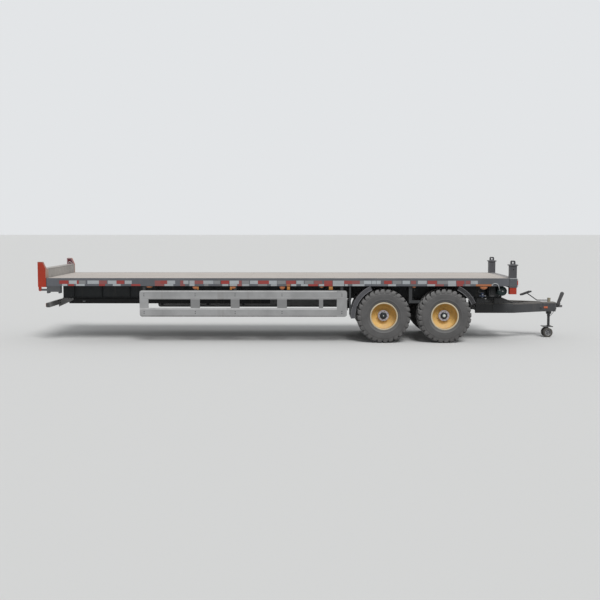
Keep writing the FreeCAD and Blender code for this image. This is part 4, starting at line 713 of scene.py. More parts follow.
def new_tree(name, *sizes):
    """An empty geometry tree with named inputs; each size is (name, socket kind, value)."""
    tree = bpy.data.node_groups.new(name, "GeometryNodeTree")
    tree.interface.new_socket("Shape", in_out="INPUT", socket_type="NodeSocketGeometry")
    for label, kind, value in sizes:
        socket = tree.interface.new_socket(label, in_out="INPUT",
                                           socket_type=f"NodeSocket{kind}")
        if value is not None:
            socket.default_value = value
    tree.interface.new_socket("Finish", in_out="INPUT", socket_type="NodeSocketMaterial")
    tree.interface.new_socket("Made", in_out="OUTPUT", socket_type="NodeSocketGeometry")
    return tree, tree.nodes.new("NodeGroupInput").outputs


def close_tree(tree, given, instances):
    """Ends a tree: the copies become one mesh with its finish."""
    solid = wire(tree, "GeometryNodeRealizeInstances", {"Geometry": instances})
    finished = wire(tree, "GeometryNodeSetMaterial",
                    {"Geometry": solid, "Material": given["Finish"]})
    end = tree.nodes.new("NodeGroupOutput")
    tree.links.new(finished, end.inputs["Made"])
    return tree


def row_tree():
    """Copies laid in a straight row, each with its own tone."""
    tree, given = new_tree("laid_in_a_row", ("Count", "Int", 2), ("Step", "Vector", (0, 0, 0)),
                           ("Seed", "Int", 1))
    line = wire(tree, "GeometryNodeMeshLine", {"Count": given["Count"],
                                               "Offset": given["Step"]})
    laid = wire(tree, "GeometryNodeInstanceOnPoints",
                {"Points": line, "Instance": given["Shape"]})
    tone = wire(tree, "FunctionNodeRandomValue", {"Seed": given["Seed"]}, out=1)
    toned = wire(tree, "GeometryNodeStoreNamedAttribute",
                 {"Geometry": laid, "Name": "tone", "Value": tone}, domain="INSTANCE")
    return close_tree(tree, given, toned)


def ring_tree():
    """Copies turned evenly about an axis that runs across the trailer."""
    tree, given = new_tree("set_round_a_wheel", ("Count", "Int", 8),
                           ("Centre", "Vector", (0, 0, 0)))
    spots = wire(tree, "GeometryNodeMeshLine", {"Count": given["Count"],
                                                "Offset": (0.0, 0.0, 0.0)})
    centred = wire(tree, "GeometryNodeSetPosition", {"Geometry": spots,
                                                     "Position": given["Centre"]})
    share = calc(tree, "DIVIDE", wire(tree, "GeometryNodeInputIndex"), given["Count"])
    turn = wire(tree, "ShaderNodeCombineXYZ",
                {"Y": times(tree, share, 2 * math.pi)})
    laid = wire(tree, "GeometryNodeInstanceOnPoints",
                {"Points": centred, "Instance": given["Shape"], "Rotation": turn})
    return close_tree(tree, given, laid)


def spot_tree():
    """One copy of a tool shape at each point, facing the way the point says."""
    tree, given = new_tree("set_at_points", ("Tool", "Object", None))
    tool = wire(tree, "GeometryNodeObjectInfo", {"Object": given["Tool"]}, out="Geometry")
    facing, scale = (wire(tree, "GeometryNodeInputNamedAttribute", {"Name": name},
                          data_type="FLOAT_VECTOR") for name in ("facing", "size"))
    turn = wire(tree, "FunctionNodeAlignRotationToVector", {"Vector": facing}, axis="Z")
    laid = wire(tree, "GeometryNodeInstanceOnPoints",
                {"Points": given["Shape"], "Instance": tool, "Rotation": turn, "Scale": scale})
    return close_tree(tree, given, laid)


def grown(tree, mesh, finish, **sizes):
    """Runs a tree on a mesh and returns the plain mesh that it makes."""
    maker = placed("maker", mesh)
    modifier = maker.modifiers.new("make", "NODES")
    modifier.node_group = tree
    sizes["Finish"] = finish
    for item in tree.interface.items_tree:
        if item.in_out == "INPUT" and item.name in sizes:
            modifier[item.identifier] = sizes[item.name]
    graph = bpy.context.evaluated_depsgraph_get()
    made = bpy.data.meshes.new_from_object(maker.evaluated_get(graph))
    bpy.data.objects.remove(maker)
    return made


ROW, RING, SPOTS = row_tree(), ring_tree(), spot_tree()

# Shapes for the point tree, which scales them to size: bolts on Z = 0 with a radius of
# about 1, and a tape block 1 long each way about its middle. They are removed at the end.
HEX_BOLT = placed("hex_bolt", Shape()
                  .rod((0, 0, -0.05), (0, 0, 0.12), 1.05, 12)
                  .rod((0, 0, 0.1), (0, 0, 0.62), 0.78, 6)
                  .rod((0, 0, 0.62), (0, 0, 0.74), 0.78, 6, tip=0.64).mesh_named("hex_bolt"))
STUD_NUT = placed("stud_nut", Shape()
                  .rod((0, 0, -0.05), (0, 0, 0.14), 1.1, 12)
                  .rod((0, 0, 0.1), (0, 0, 0.85), 0.85, 6)
                  .rod((0, 0, 0.85), (0, 0, 1.0), 0.85, 6, tip=0.7)
                  .rod((0, 0, 0.9), (0, 0, 1.35), 0.46, 8, tip=0.42).mesh_named("stud_nut"))
SCREW_HEAD = placed("screw_head", Shape()
                    .rod((0, 0, -0.2), (0, 0, 0.16), 1.0, 10, tip=0.8)
                    .rod((0, 0, 0.1), (0, 0, 0.17), 0.35, 4).mesh_named("screw_head"))
TAPE_BLOCK = placed("tape_block", Shape()
                    .block((-0.5, -0.5, -0.5), (0.5, 0.5, 0.5), 0).mesh_named("tape_block"))
TOOLS = [HEX_BOLT, STUD_NUT, SCREW_HEAD, TAPE_BLOCK]


def points(places, **values):
    """Loose points that carry named numbers or vectors."""
    mesh = bpy.data.meshes.new("spots")
    mesh.from_pydata([tuple(place) for place in places], [], [])
    for label, rows in values.items():
        vector = hasattr(rows[0], "__len__")
        stored = mesh.attributes.new(label, "FLOAT_VECTOR" if vector else "FLOAT", "POINT")
        stored.data.foreach_set("vector" if vector else "value",
                                [part for row in rows for part in row] if vector else rows)
    return mesh


def fasteners(name, spots, slot, body, tool=HEX_BOLT, size=0.014):
    """Bolts, nuts or screws at (place, facing[, size]) spots, as one piece."""
    sizes = [3 * [spot[2] if len(spot) > 2 else size] for spot in spots]
    mesh = points([spot[0] for spot in spots], facing=[spot[1] for spot in spots], size=sizes)
    return piece(name, grown(SPOTS, mesh, FINISHES[slot], Tool=tool), slot, body)


def round_axle(centre, radius, turns, side):
    """Spots in a ring about an axis across the trailer, facing outwards."""
    return [(centre + radius * Vector((math.sin(turn), 0, math.cos(turn))), Y * side)
            for turn in turns]


# ------------------------------------------------------------------ wheels

def tyre_profile(half, reach):
    """Section of the tyre from bead to bead, without its tread bars."""
    bead, crown, widest, lean = 0.253, reach - 0.022, 0.42, 1.588
    side = [(bead, 0.287), (bead + 0.002, 0.302), (bead + 0.012, 0.305)]
    # Radius along the wall, and the height of the moulded rib there.
    for radius, rib in ((0.309, 0.0), (0.330, 0.0), (0.352, 0.0), (0.358, 0.003), (0.366, 0.003),
                        (0.371, 0.0), (0.395, 0.0), (0.420, 0.0), (0.445, 0.0), (0.468, 0.0),
                        (0.476, 0.002), (0.484, 0.002), (0.489, 0.0), (0.512, 0.0), (0.534, 0.0)):
        drawn_in = 0.0005 + lean * (radius - widest) ** 2
        side.append((half - drawn_in + rib, radius))
    side += [(half - 0.044, 0.5505), (half - 0.078, 0.559), (half - 0.14, crown - 0.001),
             (0.06, crown)]
    return [(-y, radius) for y, radius in side] + side[::-1]


def tread_bars(half, reach, pitch):
    """One bar on each half of the tread, the second half a pitch behind the first."""
    shape = Shape()
    # Share of the half width, top radius, foot radius, lag in degrees, half width of the top.
    stations = [(0.03, reach, 0.556, 0.0, 0.020), (0.22, reach, 0.556, 2.6, 0.024),
                (0.46, reach, 0.556, 5.6, 0.029), (0.68, reach - 0.001, 0.554, 8.0, 0.034),
                (0.83, reach - 0.006, 0.548, 9.4, 0.038),
                (0.93, reach - 0.020, 0.532, 10.2, 0.042),
                (0.972, reach - 0.046, 0.510, 10.9, 0.042),
                (0.988, reach - 0.080, 0.495, 11.6, 0.036)]
    for side, start in ((1, 0.0), (-1, pitch / 2)):
        rows = []
        for share, top, foot, lag, width in stations:
            turn, row = math.radians(start - lag), []
            for shift, radius in ((-1.28, foot), (-1.0, top - 0.004), (-0.86, top),
                                  (0.86, top), (1.0, top - 0.004), (1.28, foot)):
                angle = turn + shift * width / reach
                row.append((radius * math.sin(angle), side * share * half,
                            radius * math.cos(angle)))
            rows.append(shape.corners(row))
        shape.skin(rows, ends=True)
    return shape


def with_reach(mesh, centre, plain):
    """Stores each point's distance from the axle line, and whether it is on a tread bar.

    The first points, as many as plain says, are the carcass; the rest are bars.
    """
    away = [math.hypot(corner.co.x - centre.x, corner.co.z - centre.z)
            for corner in mesh.vertices]
    mesh.attributes.new("reach", "FLOAT", "POINT").data.foreach_set("value", away)
    bars = [0.0] * plain + [1.0] * (len(away) - plain)
    mesh.attributes.new("bar", "FLOAT", "POINT").data.foreach_set("value", bars)
    return mesh


def treaded_tyre(axle, side):
    """Tyre carcass with a ring of tread bars on each half."""
    node, count, rubber = f"tyre_{axle}_{side}", 28, FINISHES["tyre_rubber"]
    low, high = lo_hi(node)
    centre, half, reach = (low + high) / 2, (high.y - low.y) / 2, (high.z - low.z) / 2
    carcass = Shape().turned(tyre_profile(half, reach), centre, sides=112).mesh_named("carcass")
    carcass.materials.append(rubber)
    bars = grown(RING, tread_bars(half, reach, 360 / count).mesh_named("tread_bars"), rubber,
                 Count=count, Centre=centre)
    plain = len(carcass.vertices)
    tyre = with_reach(joined(carcass, bars), centre, plain)
    piece(f"treaded_{node}", tyre, "tyre_rubber", f"wheel_{axle}_{side}", [node], smooth=32)


def wheel_fittings(axle, name):
    """Nuts, rolled rim edge, dust ring, grease cap, cap bolts and valve of one wheel."""
    wheel, side = f"{axle}_{name}", SIDES[name]
    body, centre, out = f"wheel_{wheel}", middle_of(f"tyre_{wheel}"), Y * side
    disc, cap_at = centre + out * 0.052, centre + out * 0.11
    fasteners(f"wheel_nuts_{wheel}", round_axle(disc, 0.142, arc(0, 324, 9), side), "rim_paint",
              body, STUD_NUT, 0.019)
    rim = Shape().turned([(0.0, 0.274), (0.004, 0.2745), (0.0055, 0.280), (0.0055, 0.296),
                          (0.003, 0.3015), (0.0, 0.3015)], centre + out * 0.268, sides=96,
                         way=side)
    piece(f"rim_edge_{wheel}", rim, "rim_paint", body, finish=RIM_EDGE)
    ring = Shape().turned([(-0.050, 0.1005), (-0.050, 0.112), (-0.004, 0.121), (0.004, 0.119),
                           (0.007, 0.113), (0.007, 0.072), (0.001, 0.070), (0.001, 0.098)],
                          cap_at, sides=56, way=side)
    piece(f"hub_ring_{wheel}", ring, "hub_cast", body)
    cap = Shape().turned([(0.0, 0.060), (0.0, 0.076), (0.012, 0.0765), (0.016, 0.072),
                          (0.018, 0.060), (0.034, 0.057), (0.043, 0.050), (0.047, 0.036),
                          (0.048, 0.020), (0.0415, 0.018), (0.0415, 0.0)], cap_at,
                         closed=False, way=side)
    piece(f"grease_cap_{wheel}", cap, "chassis_paint", body, finish=CAP_BLACK)
    # A pale plug in the middle of the grease cap, whose paleness is a painted highlight.
    if axle == "front":
        plug = Shape().turned([(0.040, 0.0325), (0.049, 0.0325), (0.054, 0.028),
                               (0.058, 0.017), (0.059, 0.0)], cap_at, sides=32, closed=False,
                              way=side)
    else:
        plug = Shape().rod(cap_at + out * 0.041, cap_at + out * 0.051, 0.013, 6)
    piece(f"cap_plug_{wheel}", plug, "galvanised", body, finish=CAP_GLINT)
    fasteners(f"hub_bolts_{wheel}", round_axle(cap_at + out * 0.007, 0.092, arc(15, 330, 7), side),
              "galvanised", body, size=0.008)
    stem = disc - Z * 0.118
    valve = Shape().rod(stem, stem + out * 0.02, 0.009, 12)
    valve.tube([stem, stem + out * 0.03, stem + out * 0.052 + Z * 0.002], 0.0055, 10)
    valve.rod(stem + out * 0.05, stem + out * 0.072, 0.008, 10, 0.002)
    piece(f"valve_{wheel}", valve, "box_plastic", body)


for axle in AXLES:
    for side in SIDES:
        treaded_tyre(axle, side)
        wheel_fittings(axle, side)


# ------------------------------------------------------------------ deck

def deck():
    """Boards laid lengthways, screwed down at every cross member."""
    low, high = lo_hi("deck_floor")
    count, gap, lap, round_off = 12, 0.005, 0.0095, 0.004
    width = (high.y - low.y - gap * (count - 1)) / count
    left, right, half = low.y, low.y + width, (low.z + high.z) / 2
    under = left + lap - gap + 0.0007  # clear of the tongue of the board before
    tongue = half - 0.0006
    section = [(under, low.z), (right + lap, low.z), (right + lap, tongue),
               (right, tongue), (right, high.z - round_off),
               (right - round_off, high.z), (left + round_off, high.z),
               (left, high.z - round_off), (left, half), (under, half)]
    board = Shape().plate(section, low.x, high.x, axis="X")
    mesh = grown(ROW, board.mesh_named("board"), FINISHES["deck_timber"], Count=count,
                 Step=Vector((0, width + gap, 0)), Seed=4)
    trim = bmesh.new()
    trim.from_mesh(mesh)
    for corner in trim.verts:  # no tongue on the last board
        corner.co.y = min(corner.co.y, high.y)
    bmesh.ops.remove_doubles(trim, verts=trim.verts, dist=1e-6)
    trim.to_mesh(mesh)
    trim.free()
    piece("deck_boards", mesh, "deck_timber", "chassis", ["deck_floor"])
    members, pitch = 17, 0.622
    lines = [low.x + 0.02 + i * pitch for i in range(members - 1)] + [high.x - 0.025]
    middles = [low.y + i * (width + gap) + width / 2 for i in range(count)]
    spots = [((x, y + side * width * 0.3, high.z - 0.0006), Z)
             for x in lines for y in middles for side in (1, -1)]
    fasteners("deck_screws", spots, "galvanised", "chassis", SCREW_HEAD, 0.006)


deck()


# ------------------------------------------------------------------ reflective tape

# Blocks along the side rail from its rear end: (start, length, kind), in metres.
# r is red, b dull brown red, w white, d a block dulled to grey, o orange.
UPPER_TAPE = [
    (0.28, 0.20, "r"), (0.49, 0.17, "w"), (0.66, 0.04, "r"), (0.71, 0.14, "d"), (0.89, 0.25, "w"),
    (1.14, 0.17, "b"), (1.33, 0.19, "w"), (1.52, 0.17, "r"), (1.70, 0.15, "w"), (2.35, 0.12, "b"),
    (2.47, 0.15, "r"), (2.62, 0.17, "w"), (2.90, 0.07, "b"), (2.97, 0.11, "w"), (3.10, 0.11, "w"),
    (3.21, 0.19, "b"), (3.40, 0.22, "w"), (3.63, 0.15, "d"), (3.77, 0.19, "r"), (3.97, 0.20, "w"),
    (4.17, 0.06, "b"), (4.24, 0.15, "d"), (4.41, 0.17, "w"), (4.58, 0.24, "r"), (4.82, 0.17, "w"),
    (5.00, 0.18, "d"), (5.19, 0.22, "r"), (5.40, 0.17, "w"), (5.59, 0.19, "d"), (5.79, 0.18, "b"),
    (6.01, 0.18, "r"), (6.20, 0.24, "w"), (6.44, 0.17, "r"), (6.61, 0.17, "b"), (6.78, 0.09, "d"),
    (6.87, 0.16, "w"), (7.04, 0.09, "w"), (7.14, 0.09, "w"), (7.30, 0.17, "r"), (7.49, 0.19, "d"),
    (7.70, 0.16, "w"), (7.88, 0.11, "b"), (8.03, 0.19, "w"), (8.24, 0.20, "r"), (8.45, 0.23, "d"),
    (8.68, 0.17, "w"), (8.86, 0.17, "r"), (9.06, 0.10, "b"), (9.17, 0.15, "w"),
]
LOWER_TAPE = [
    (0.34, 0.11, "w"), (0.47, 0.13, "r"), (0.64, 0.19, "w"), (1.14, 0.13, "r"), (1.44, 0.17, "w"),
    (1.84, 0.20, "r"), (2.35, 0.20, "b"), (2.56, 0.19, "w"), (2.90, 0.10, "b"), (3.10, 0.11, "w"),
    (3.42, 0.09, "d"), (3.81, 0.13, "w"), (3.97, 0.16, "w"), (4.14, 0.09, "b"), (4.24, 0.15, "w"),
    (4.58, 0.20, "d"), (4.86, 0.13, "w"), (5.20, 0.08, "o"), (5.30, 0.11, "w"), (5.51, 0.15, "w"),
    (5.67, 0.21, "r"), (5.90, 0.11, "w"), (6.01, 0.18, "r"), (6.20, 0.24, "w"), (6.46, 0.06, "w"),
    (6.62, 0.26, "w"), (7.39, 0.17, "w"), (8.23, 0.17, "w"), (8.40, 0.19, "b"), (8.68, 0.17, "w"),
    (8.87, 0.13, "r"), (9.05, 0.11, "d"), (9.28, 0.34, "o"),
]


def rail_tape():
    """Two rows of tape blocks on the outer face of each side rail."""
    low, high = lo_hi("side_rails")
    thick = 0.0016
    # Blocks, height of their middle, their own height, how much further they stand out.
    rows = [(UPPER_TAPE, high.z - 0.088, 0.074, 0.0), (LOWER_TAPE, low.z + 0.022, 0.041, 0.0004)]
    places, sizes, red, worn = [], [], [], []
    for side in (1, -1):
        for row, middle, tall, proud in rows:
            for number, (start, length, kind) in enumerate(row):
                places.append((low.x + start + length / 2, side * (high.y + 0.0005 + proud),
                               middle))
                sizes.append((length, thick, tall))
                red.append({"r": 1.0, "b": 0.75, "o": 2.0}.get(kind, 0.0))
                worn.append({"d": 1.0, "b": 0.55}.get(kind, (0.37 * number) % 0.35))
    mesh = points(places, facing=[Z] * len(places), size=sizes, red=red, worn=worn)
    piece("rail_tape", grown(SPOTS, mesh, TAPE, Tool=TAPE_BLOCK), "board_stripes", "chassis")


rail_tape()


# ------------------------------------------------------------------ lamps

# Centre, half length and depth of each lamp; centre and width of each clip.
LAMPS = [(-3.43, 0.075, 0.040), (-2.43, 0.065, 0.075), (-1.61, 0.062, 0.065),
         (-0.55, 0.062, 0.080), (0.30, 0.045, 0.040), (2.30, 0.045, 0.040), (3.80, 0.086, 0.075)]
CLIPS = [(-2.375, 0.032), (-1.66, 0.045), (-0.415, 0.065), (0.50, 0.085)]


def side_lamps():
    """Amber marker domes in small shoes, and orange clips, under the side rails."""
    low, high = lo_hi("side_rails")
    shoes, clips, domes = Shape(), Shape(), []
    half_wide, shoe = 0.028, 0.008
    # Share of the depth, share of the half length.
    curve = [(0.0, 0.98), (0.22, 1.0), (0.46, 0.93), (0.70, 0.76), (0.88, 0.50), (0.98, 0.22),
             (1.0, 0.0)]
    for side in (1, -1):
        y = side * (high.y - 0.035)
        for x, reach, drop in LAMPS:
            shoes.block((x - reach - shoe, y - 0.030, low.z - 0.010),
                        (x + reach + shoe, y + 0.030, low.z), 0.004)
            dome = Shape().turned([(share * (drop - shoe), width * reach)
                                   for share, width in curve], (x, y, low.z - shoe), axis="Z",
                                  sides=24, closed=False, way=-1).mesh_named("dome")
            for corner in dome.vertices:  # oval, longer than wide
                corner.co.y = y + (corner.co.y - y) * half_wide / reach
            dome.materials.append(FINISHES["amber_lens"])
            domes.append(dome)
        near, far = high.y - 0.045, high.y - 0.012
        for x, wide in CLIPS:
            clips.block((x - wide / 2, side * near, low.z - 0.082),
                        (x + wide / 2, side * far, low.z + 0.0005), 0.006)
            clips.block((x - wide / 2 + 0.006, side * (near - 0.004), low.z - 0.062),
                        (x + wide / 2 - 0.006, side * (far + 0.004), low.z - 0.022), 0.004)
    piece("amber_domes", joined(*domes), "amber_lens", "chassis", ["amber_lamps"])
    piece("lamp_shoes", shoes, "chassis_paint", "chassis")
    piece("rail_clips", clips, "red_paint", "chassis", finish=CLIP_ORANGE)


side_lamps()


# ------------------------------------------------------------------ tail

def tail_board():
    """Pressed ribs on both faces of the tailboard, and the rolled lip along its top."""
    low, high = lo_hi("tailboard_panel")
    start, wide, count = low.y + 0.15, 0.035, 10
    rib = Shape()
    for foot, top in ((low.z + 0.07, low.z + 0.150), (low.z + 0.230, high.z - 0.07)):
        rib.block((low.x - 0.006, start, foot), (low.x + 0.004, start + wide, top), 0.004)
    rib.block((high.x - 0.003, start, low.z + 0.215),
              (high.x + 0.003, start + wide, high.z - 0.03), 0.0025)
    step = (high.y - low.y - 0.3 - wide) / (count - 1)
    made = grown(ROW, rib.mesh_named("rib"), FINISHES["tail_aluminium"], Count=count,
                 Step=Vector((0, step, 0)), Seed=2)
    piece("tail_ribs", made, "tail_aluminium", "tailboard")
    lip = Shape()
    for x in (low.x, high.x):
        lip.tube([(x, low.y + 0.002, high.z - 0.004), (x, high.y - 0.002, high.z - 0.004)],
                 0.006, 10)
    piece("tail_lip", lip, "tail_aluminium", "tailboard")


def tail_ends():
    """Recess, border, ring, braces and plug of each end plate, its rubbed edges and bolts."""
    low, high = lo_hi("tailboard_panel")
    ends_low, ends_high = lo_hi("tailboard_ends")
    back, far, top = ends_low.x, ends_high.y, ends_high.z
    rear, front, hole = low.x, high.x, place_of("tail_ear_left")
    rings, edges, liners, plugs = Shape(), Shape(), Shape(), Shape()
    borders, braces, spots = Shape(), Shape(), []
    outline = [(back + 0.006, high.z - 0.002), (front - 0.006, high.z - 0.002),
               (back + 0.108, top - 0.006), (back + 0.006, top - 0.006)]
    inset = [(back + 0.024, high.z + 0.018), (front - 0.030, high.z + 0.018),
             (back + 0.100, top - 0.024), (back + 0.024, top - 0.024)]
    peak = Vector((hole.x + 0.008, hole.z - 0.020))
    feet = [(Vector((hole.x - 0.020, hole.z - 0.064)), 0.011),
            (Vector((hole.x + 0.078, hole.z - 0.080)), 0.012)]
    for side in (1, -1):
        outer, inner = side * far, side * (far - 0.060)
        liners.holed(outline, (hole.x, hole.z), 0.0235, inner, inner - side * 0.003)
        borders.border(outline, inset, inner - side * 0.003, inner - side * 0.010, bevel=0.0015)
        rings.turned([(0.001, 0.0225), (0.006, 0.0235), (0.008, 0.026), (0.008, 0.031),
                      (0.006, 0.034), (0.001, 0.034)], (hole.x, inner, hole.z), sides=36,
                     way=-side)
        for foot, proud in feet:
            across = (foot - peak).normalized().orthogonal() * 0.008
            braces.plate([peak + across, peak - across, foot - across, foot + across],
                         inner - side * 0.002, inner - side * proud, bevel=0.001)
        plugs.turned([(-0.012, 0.0), (-0.012, 0.0215), (0.001, 0.0240), (0.0025, 0.0225),
                      (0.003, 0.0)], (hole.x, outer, hole.z), sides=32, closed=False, way=side)
        # Bright where the red plate rubs on the deck, and along its edges.
        edges.block((front - 0.002, inner + side * 0.004, low.z + 0.200),
                    (front + 0.003, outer - side * 0.003, low.z + 0.385), 0.001)
        for y in (outer, inner):
            edges.tube([(front - 0.001, y, low.z + 0.2), (front - 0.001, y, high.z - 0.002),
                        (back + 0.111, y, top - 0.003), (back + 0.004, y, top - 0.003)],
                       0.005, 8)
        spots += [((x, outer, z), (0, side, 0))
                  for z in (low.z + 0.05, low.z + 0.16, low.z + 0.27, high.z - 0.035)
                  for x in (rear + 0.035, rear + 0.14)]
    # On the right the rubbed paint carries on over the end of the board.
    edges.block((front - 0.002, 0.003 - far, low.z + 0.200),
                (front + 0.002, 0.205 - far, low.z + 0.385), 0.001)
    piece("ear_rings", rings, "red_paint", "tailboard", finish=EAR_RED)
    piece("ear_liners", liners, "red_paint", "tailboard", finish=EAR_INSIDE)
    piece("ear_borders", borders, "red_paint", "tailboard", finish=EAR_BORDER)
    piece("ear_braces", braces, "tail_aluminium", "tailboard")
    piece("ear_plugs", plugs, "red_paint", "tailboard")
    piece("tail_edging", edges, "red_paint", "tailboard", finish=TAIL_EDGE)
    spots += [((rear, y, low.z + 0.05 + 0.098 * row), -X)
              for y in (low.y + 0.04, high.y - 0.04) for row in range(4)]
    fasteners("tail_bolts", spots, "red_paint", "tailboard", size=0.011)


def tail_markings():
    """Red and white blocks along the rear face, with a round reflector at each end."""
    low, high = lo_hi("tailboard_panel")
    count = 14
    step = (high.y - low.y - 0.3) / count
    mesh = points([(low.x - 0.0006, low.y + 0.15 + (i + 0.5) * step, low.z + 0.19)
                   for i in range(count)], facing=[Z] * count,
                  size=[(0.0016, step - 0.004, 0.05)] * count,
                  red=[float(i % 2) for i in range(count)],
                  worn=[(0.31 * i) % 0.4 for i in range(count)])
    piece("tail_tape", grown(SPOTS, mesh, TAPE, Tool=TAPE_BLOCK), "board_stripes", "tailboard")
    discs = Shape()
    for y in (low.y + 0.075, high.y - 0.075):
        discs.turned([(-0.004, 0.0), (-0.004, 0.036), (0.004, 0.036), (0.007, 0.033),
                      (0.0085, 0.0)], (low.x, y, low.z + 0.31), axis="X", sides=28,
                     closed=False, way=-1)
    piece("tail_reflectors", discs, "red_lens", "tailboard")


def hinges():
    """Washers, split pins, ribs and bolts of the hinge brackets."""
    low, high = lo_hi("hinge_brackets")
    pin, middle = place_of("tailboard_fold"), high.x - 0.150  # of each bracket's bolted part
    pins, ribs, spots = Shape(), Shape(), []
    for side in (1, -1):
        y, out = side * high.y, Y * side
        inner = Vector((pin.x, side * (high.y - 0.041), pin.z))
        pins.turned([(0.0, 0.0), (0.0, 0.026), (0.006, 0.026), (0.006, 0.0)], inner, sides=24,
                    closed=False, way=-side)
        pins.tube([inner - out * 0.012 + Z * 0.022, inner - out * 0.012 - Z * 0.026], 0.003, 8)
        pins.tube([inner - out * 0.003, inner - out * 0.018], 0.0155, 16)
        ribs.block((middle - 0.102, y, low.z + 0.032),
                   (middle + 0.102, y - side * 0.010, low.z + 0.068), 0.002)
        for z, shifts in ((high.z - 0.025, (-0.125, -0.075, 0.075, 0.125)),
                          (low.z + 0.030, (-0.125, 0.125))):
            spots += [((middle + shift, y - side * 0.0005, z), (0, side, 0)) for shift in shifts]
    piece("hinge_washers", pins, "galvanised", "chassis")
    piece("hinge_ribs", ribs, "galvanised", "chassis", finish=BRACKET_GREY)
    fasteners("hinge_bolts", spots, "galvanised", "chassis", size=0.010)


def underrun():
    """End caps and clamp bolts of the underrun bar."""
    low, high = lo_hi("underrun_bar")
    arms_low = lo_hi("underrun_arms")[0]
    caps, spots = Shape(), []
    for side in (1, -1):
        y = side * high.y
        for inset, reach, bevel in ((0.001, 0.007, 0.003), (0.004, -0.03, 0.002)):
            caps.block((low.x + inset, y, low.z + inset),
                       (high.x - inset, y + side * reach, high.z - inset), bevel)
        for x, z in ((0.035, 0.09), (0.035, 0.13), (0.28, 0.19), (0.28, 0.235), (0.22, 0.19)):
            for face, out in ((0.454, 1), (0.446, -1)):
                spots.append(((arms_low.x + x, side * face, arms_low.z + z),
                              (0, side * out, 0)))
    piece("underrun_caps", caps, "galvanised", "chassis", finish=UNDERRUN_GREY)
    fasteners("underrun_bolts", spots, "galvanised", "chassis", size=0.012)


def lamp_clusters():
    """The rear lamps: amber, red and clear lenses on a black back."""
    low, high = lo_hi("tail_lamps")
    backs, amber, red, clear = Shape(), Shape(), Shape(), Shape()
    for side in (1, -1):
        backs.block((low.x + 0.008, side * high.y, low.z),
                    (high.x, side * (high.y - 0.26), high.z), 0.005)
        start = high.y - 0.006
        for lens, length in ((amber, 0.070), (red, 0.120), (clear, 0.050)):
            lens.block((low.x, side * (start - 0.001), low.z + 0.007),
                       (low.x + 0.012, side * (start - length + 0.001), high.z - 0.007), 0.004)
            start -= length
    piece("lamp_backs", backs, "box_plastic", "chassis")
    piece("tail_lamp_red", red, "red_lens", "chassis", ["tail_lamps"])
    piece("tail_lamp_amber", amber, "amber_lens", "chassis")
    piece("tail_lamp_clear", clear, "red_lens", "chassis", finish=CLEAR_LENS)


tail_board()
tail_ends()
tail_markings()
hinges()
underrun()
lamp_clusters()


# ------------------------------------------------------------------ side guards

def guard_details():
    """Pressed beads along the guard rails, and bolts at each post."""
    low, high = lo_hi("side_guard_rails")
    beads, spots = Shape(), []
    length = high.x - low.x
    # Where each post stands, as a share of the free length, and its width.
    posts = [(0.0, 0.19), (0.2576, 0.20), (0.4593, 0.19), (0.6963, 0.21), (1.0, 0.22)]
    for side in (1, -1):
        face = side * (high.y - 0.0015)
        for z in (low.z + 0.028, low.z + 0.162, high.z - 0.162, high.z - 0.028):
            beads.tube([(low.x + 0.06, face, z), (high.x - 0.06, face, z)], 0.0055, 8)
        for share, wide in posts:
            x = low.x + share * (length - wide) + wide / 2
            for z in (low.z + 0.075, low.z + 0.115, high.z - 0.115, high.z - 0.075):
                spots.append(((x, side * high.y, z), (0, side, 0)))
    piece("guard_beads", beads, "guard_aluminium", "chassis")
    fasteners("guard_bolts", spots, "galvanised", "chassis", size=0.010)


guard_details()


# ------------------------------------------------------------------ mudguards and struts

def mudguard_details():
    """Rolled rims of the mudguards, pale as a painted highlight, and the bolts that hold them."""
    face = lo_hi("mudguards")[1].y
    inner, outer, bolts = 0.627, 0.713, 0.672
    rims, spots = Shape(), []
    for side in (1, -1):
        for axle, start, end in (("rear", 184.0, 114.4), ("front", 65.6, 24.0)):
            centre = middle_of(f"tyre_{axle}_left")

            def bowed(radius, y, turns):
                """Points on the curve of the mudguard."""
                return [(centre.x + radius * math.cos(turn), side * y,
                         centre.z + radius * math.sin(turn)) for turn in turns]

            for radius, y, thick in ((inner, face - 0.002, 0.007), (outer, face - 0.002, 0.006),
                                     (outer, 0.660, 0.006)):
                rims.tube(bowed(radius, y, arc(start, end, 20)), thick, 8)
            margin = (end - start) * 0.12
            spots += [(spot, (0, side, 0))
                      for spot in bowed(bolts, face, arc(start + margin, end - margin, 3))]
    piece("mudguard_rims", rims, "guard_plastic", "chassis", finish=GUARD_RIM)
    # The stay between the wheels.
    middle = (middle_of("tyre_rear_left").x + middle_of("tyre_front_left").x) / 2
    stay = lo_hi("mudguard_stays")[1].y - 0.050
    spots += [((middle + shift, side * stay, z), (0, side, 0)) for side in (1, -1)
              for shift, z in ((-0.09, 0.90), (0.09, 0.90), (0.0, 1.20), (0.0, 1.15))]
    fasteners("mudguard_bolts", spots, "galvanised", "chassis", size=0.009)


mudguard_details()


# ------------------------------------------------------------------ axles and springs

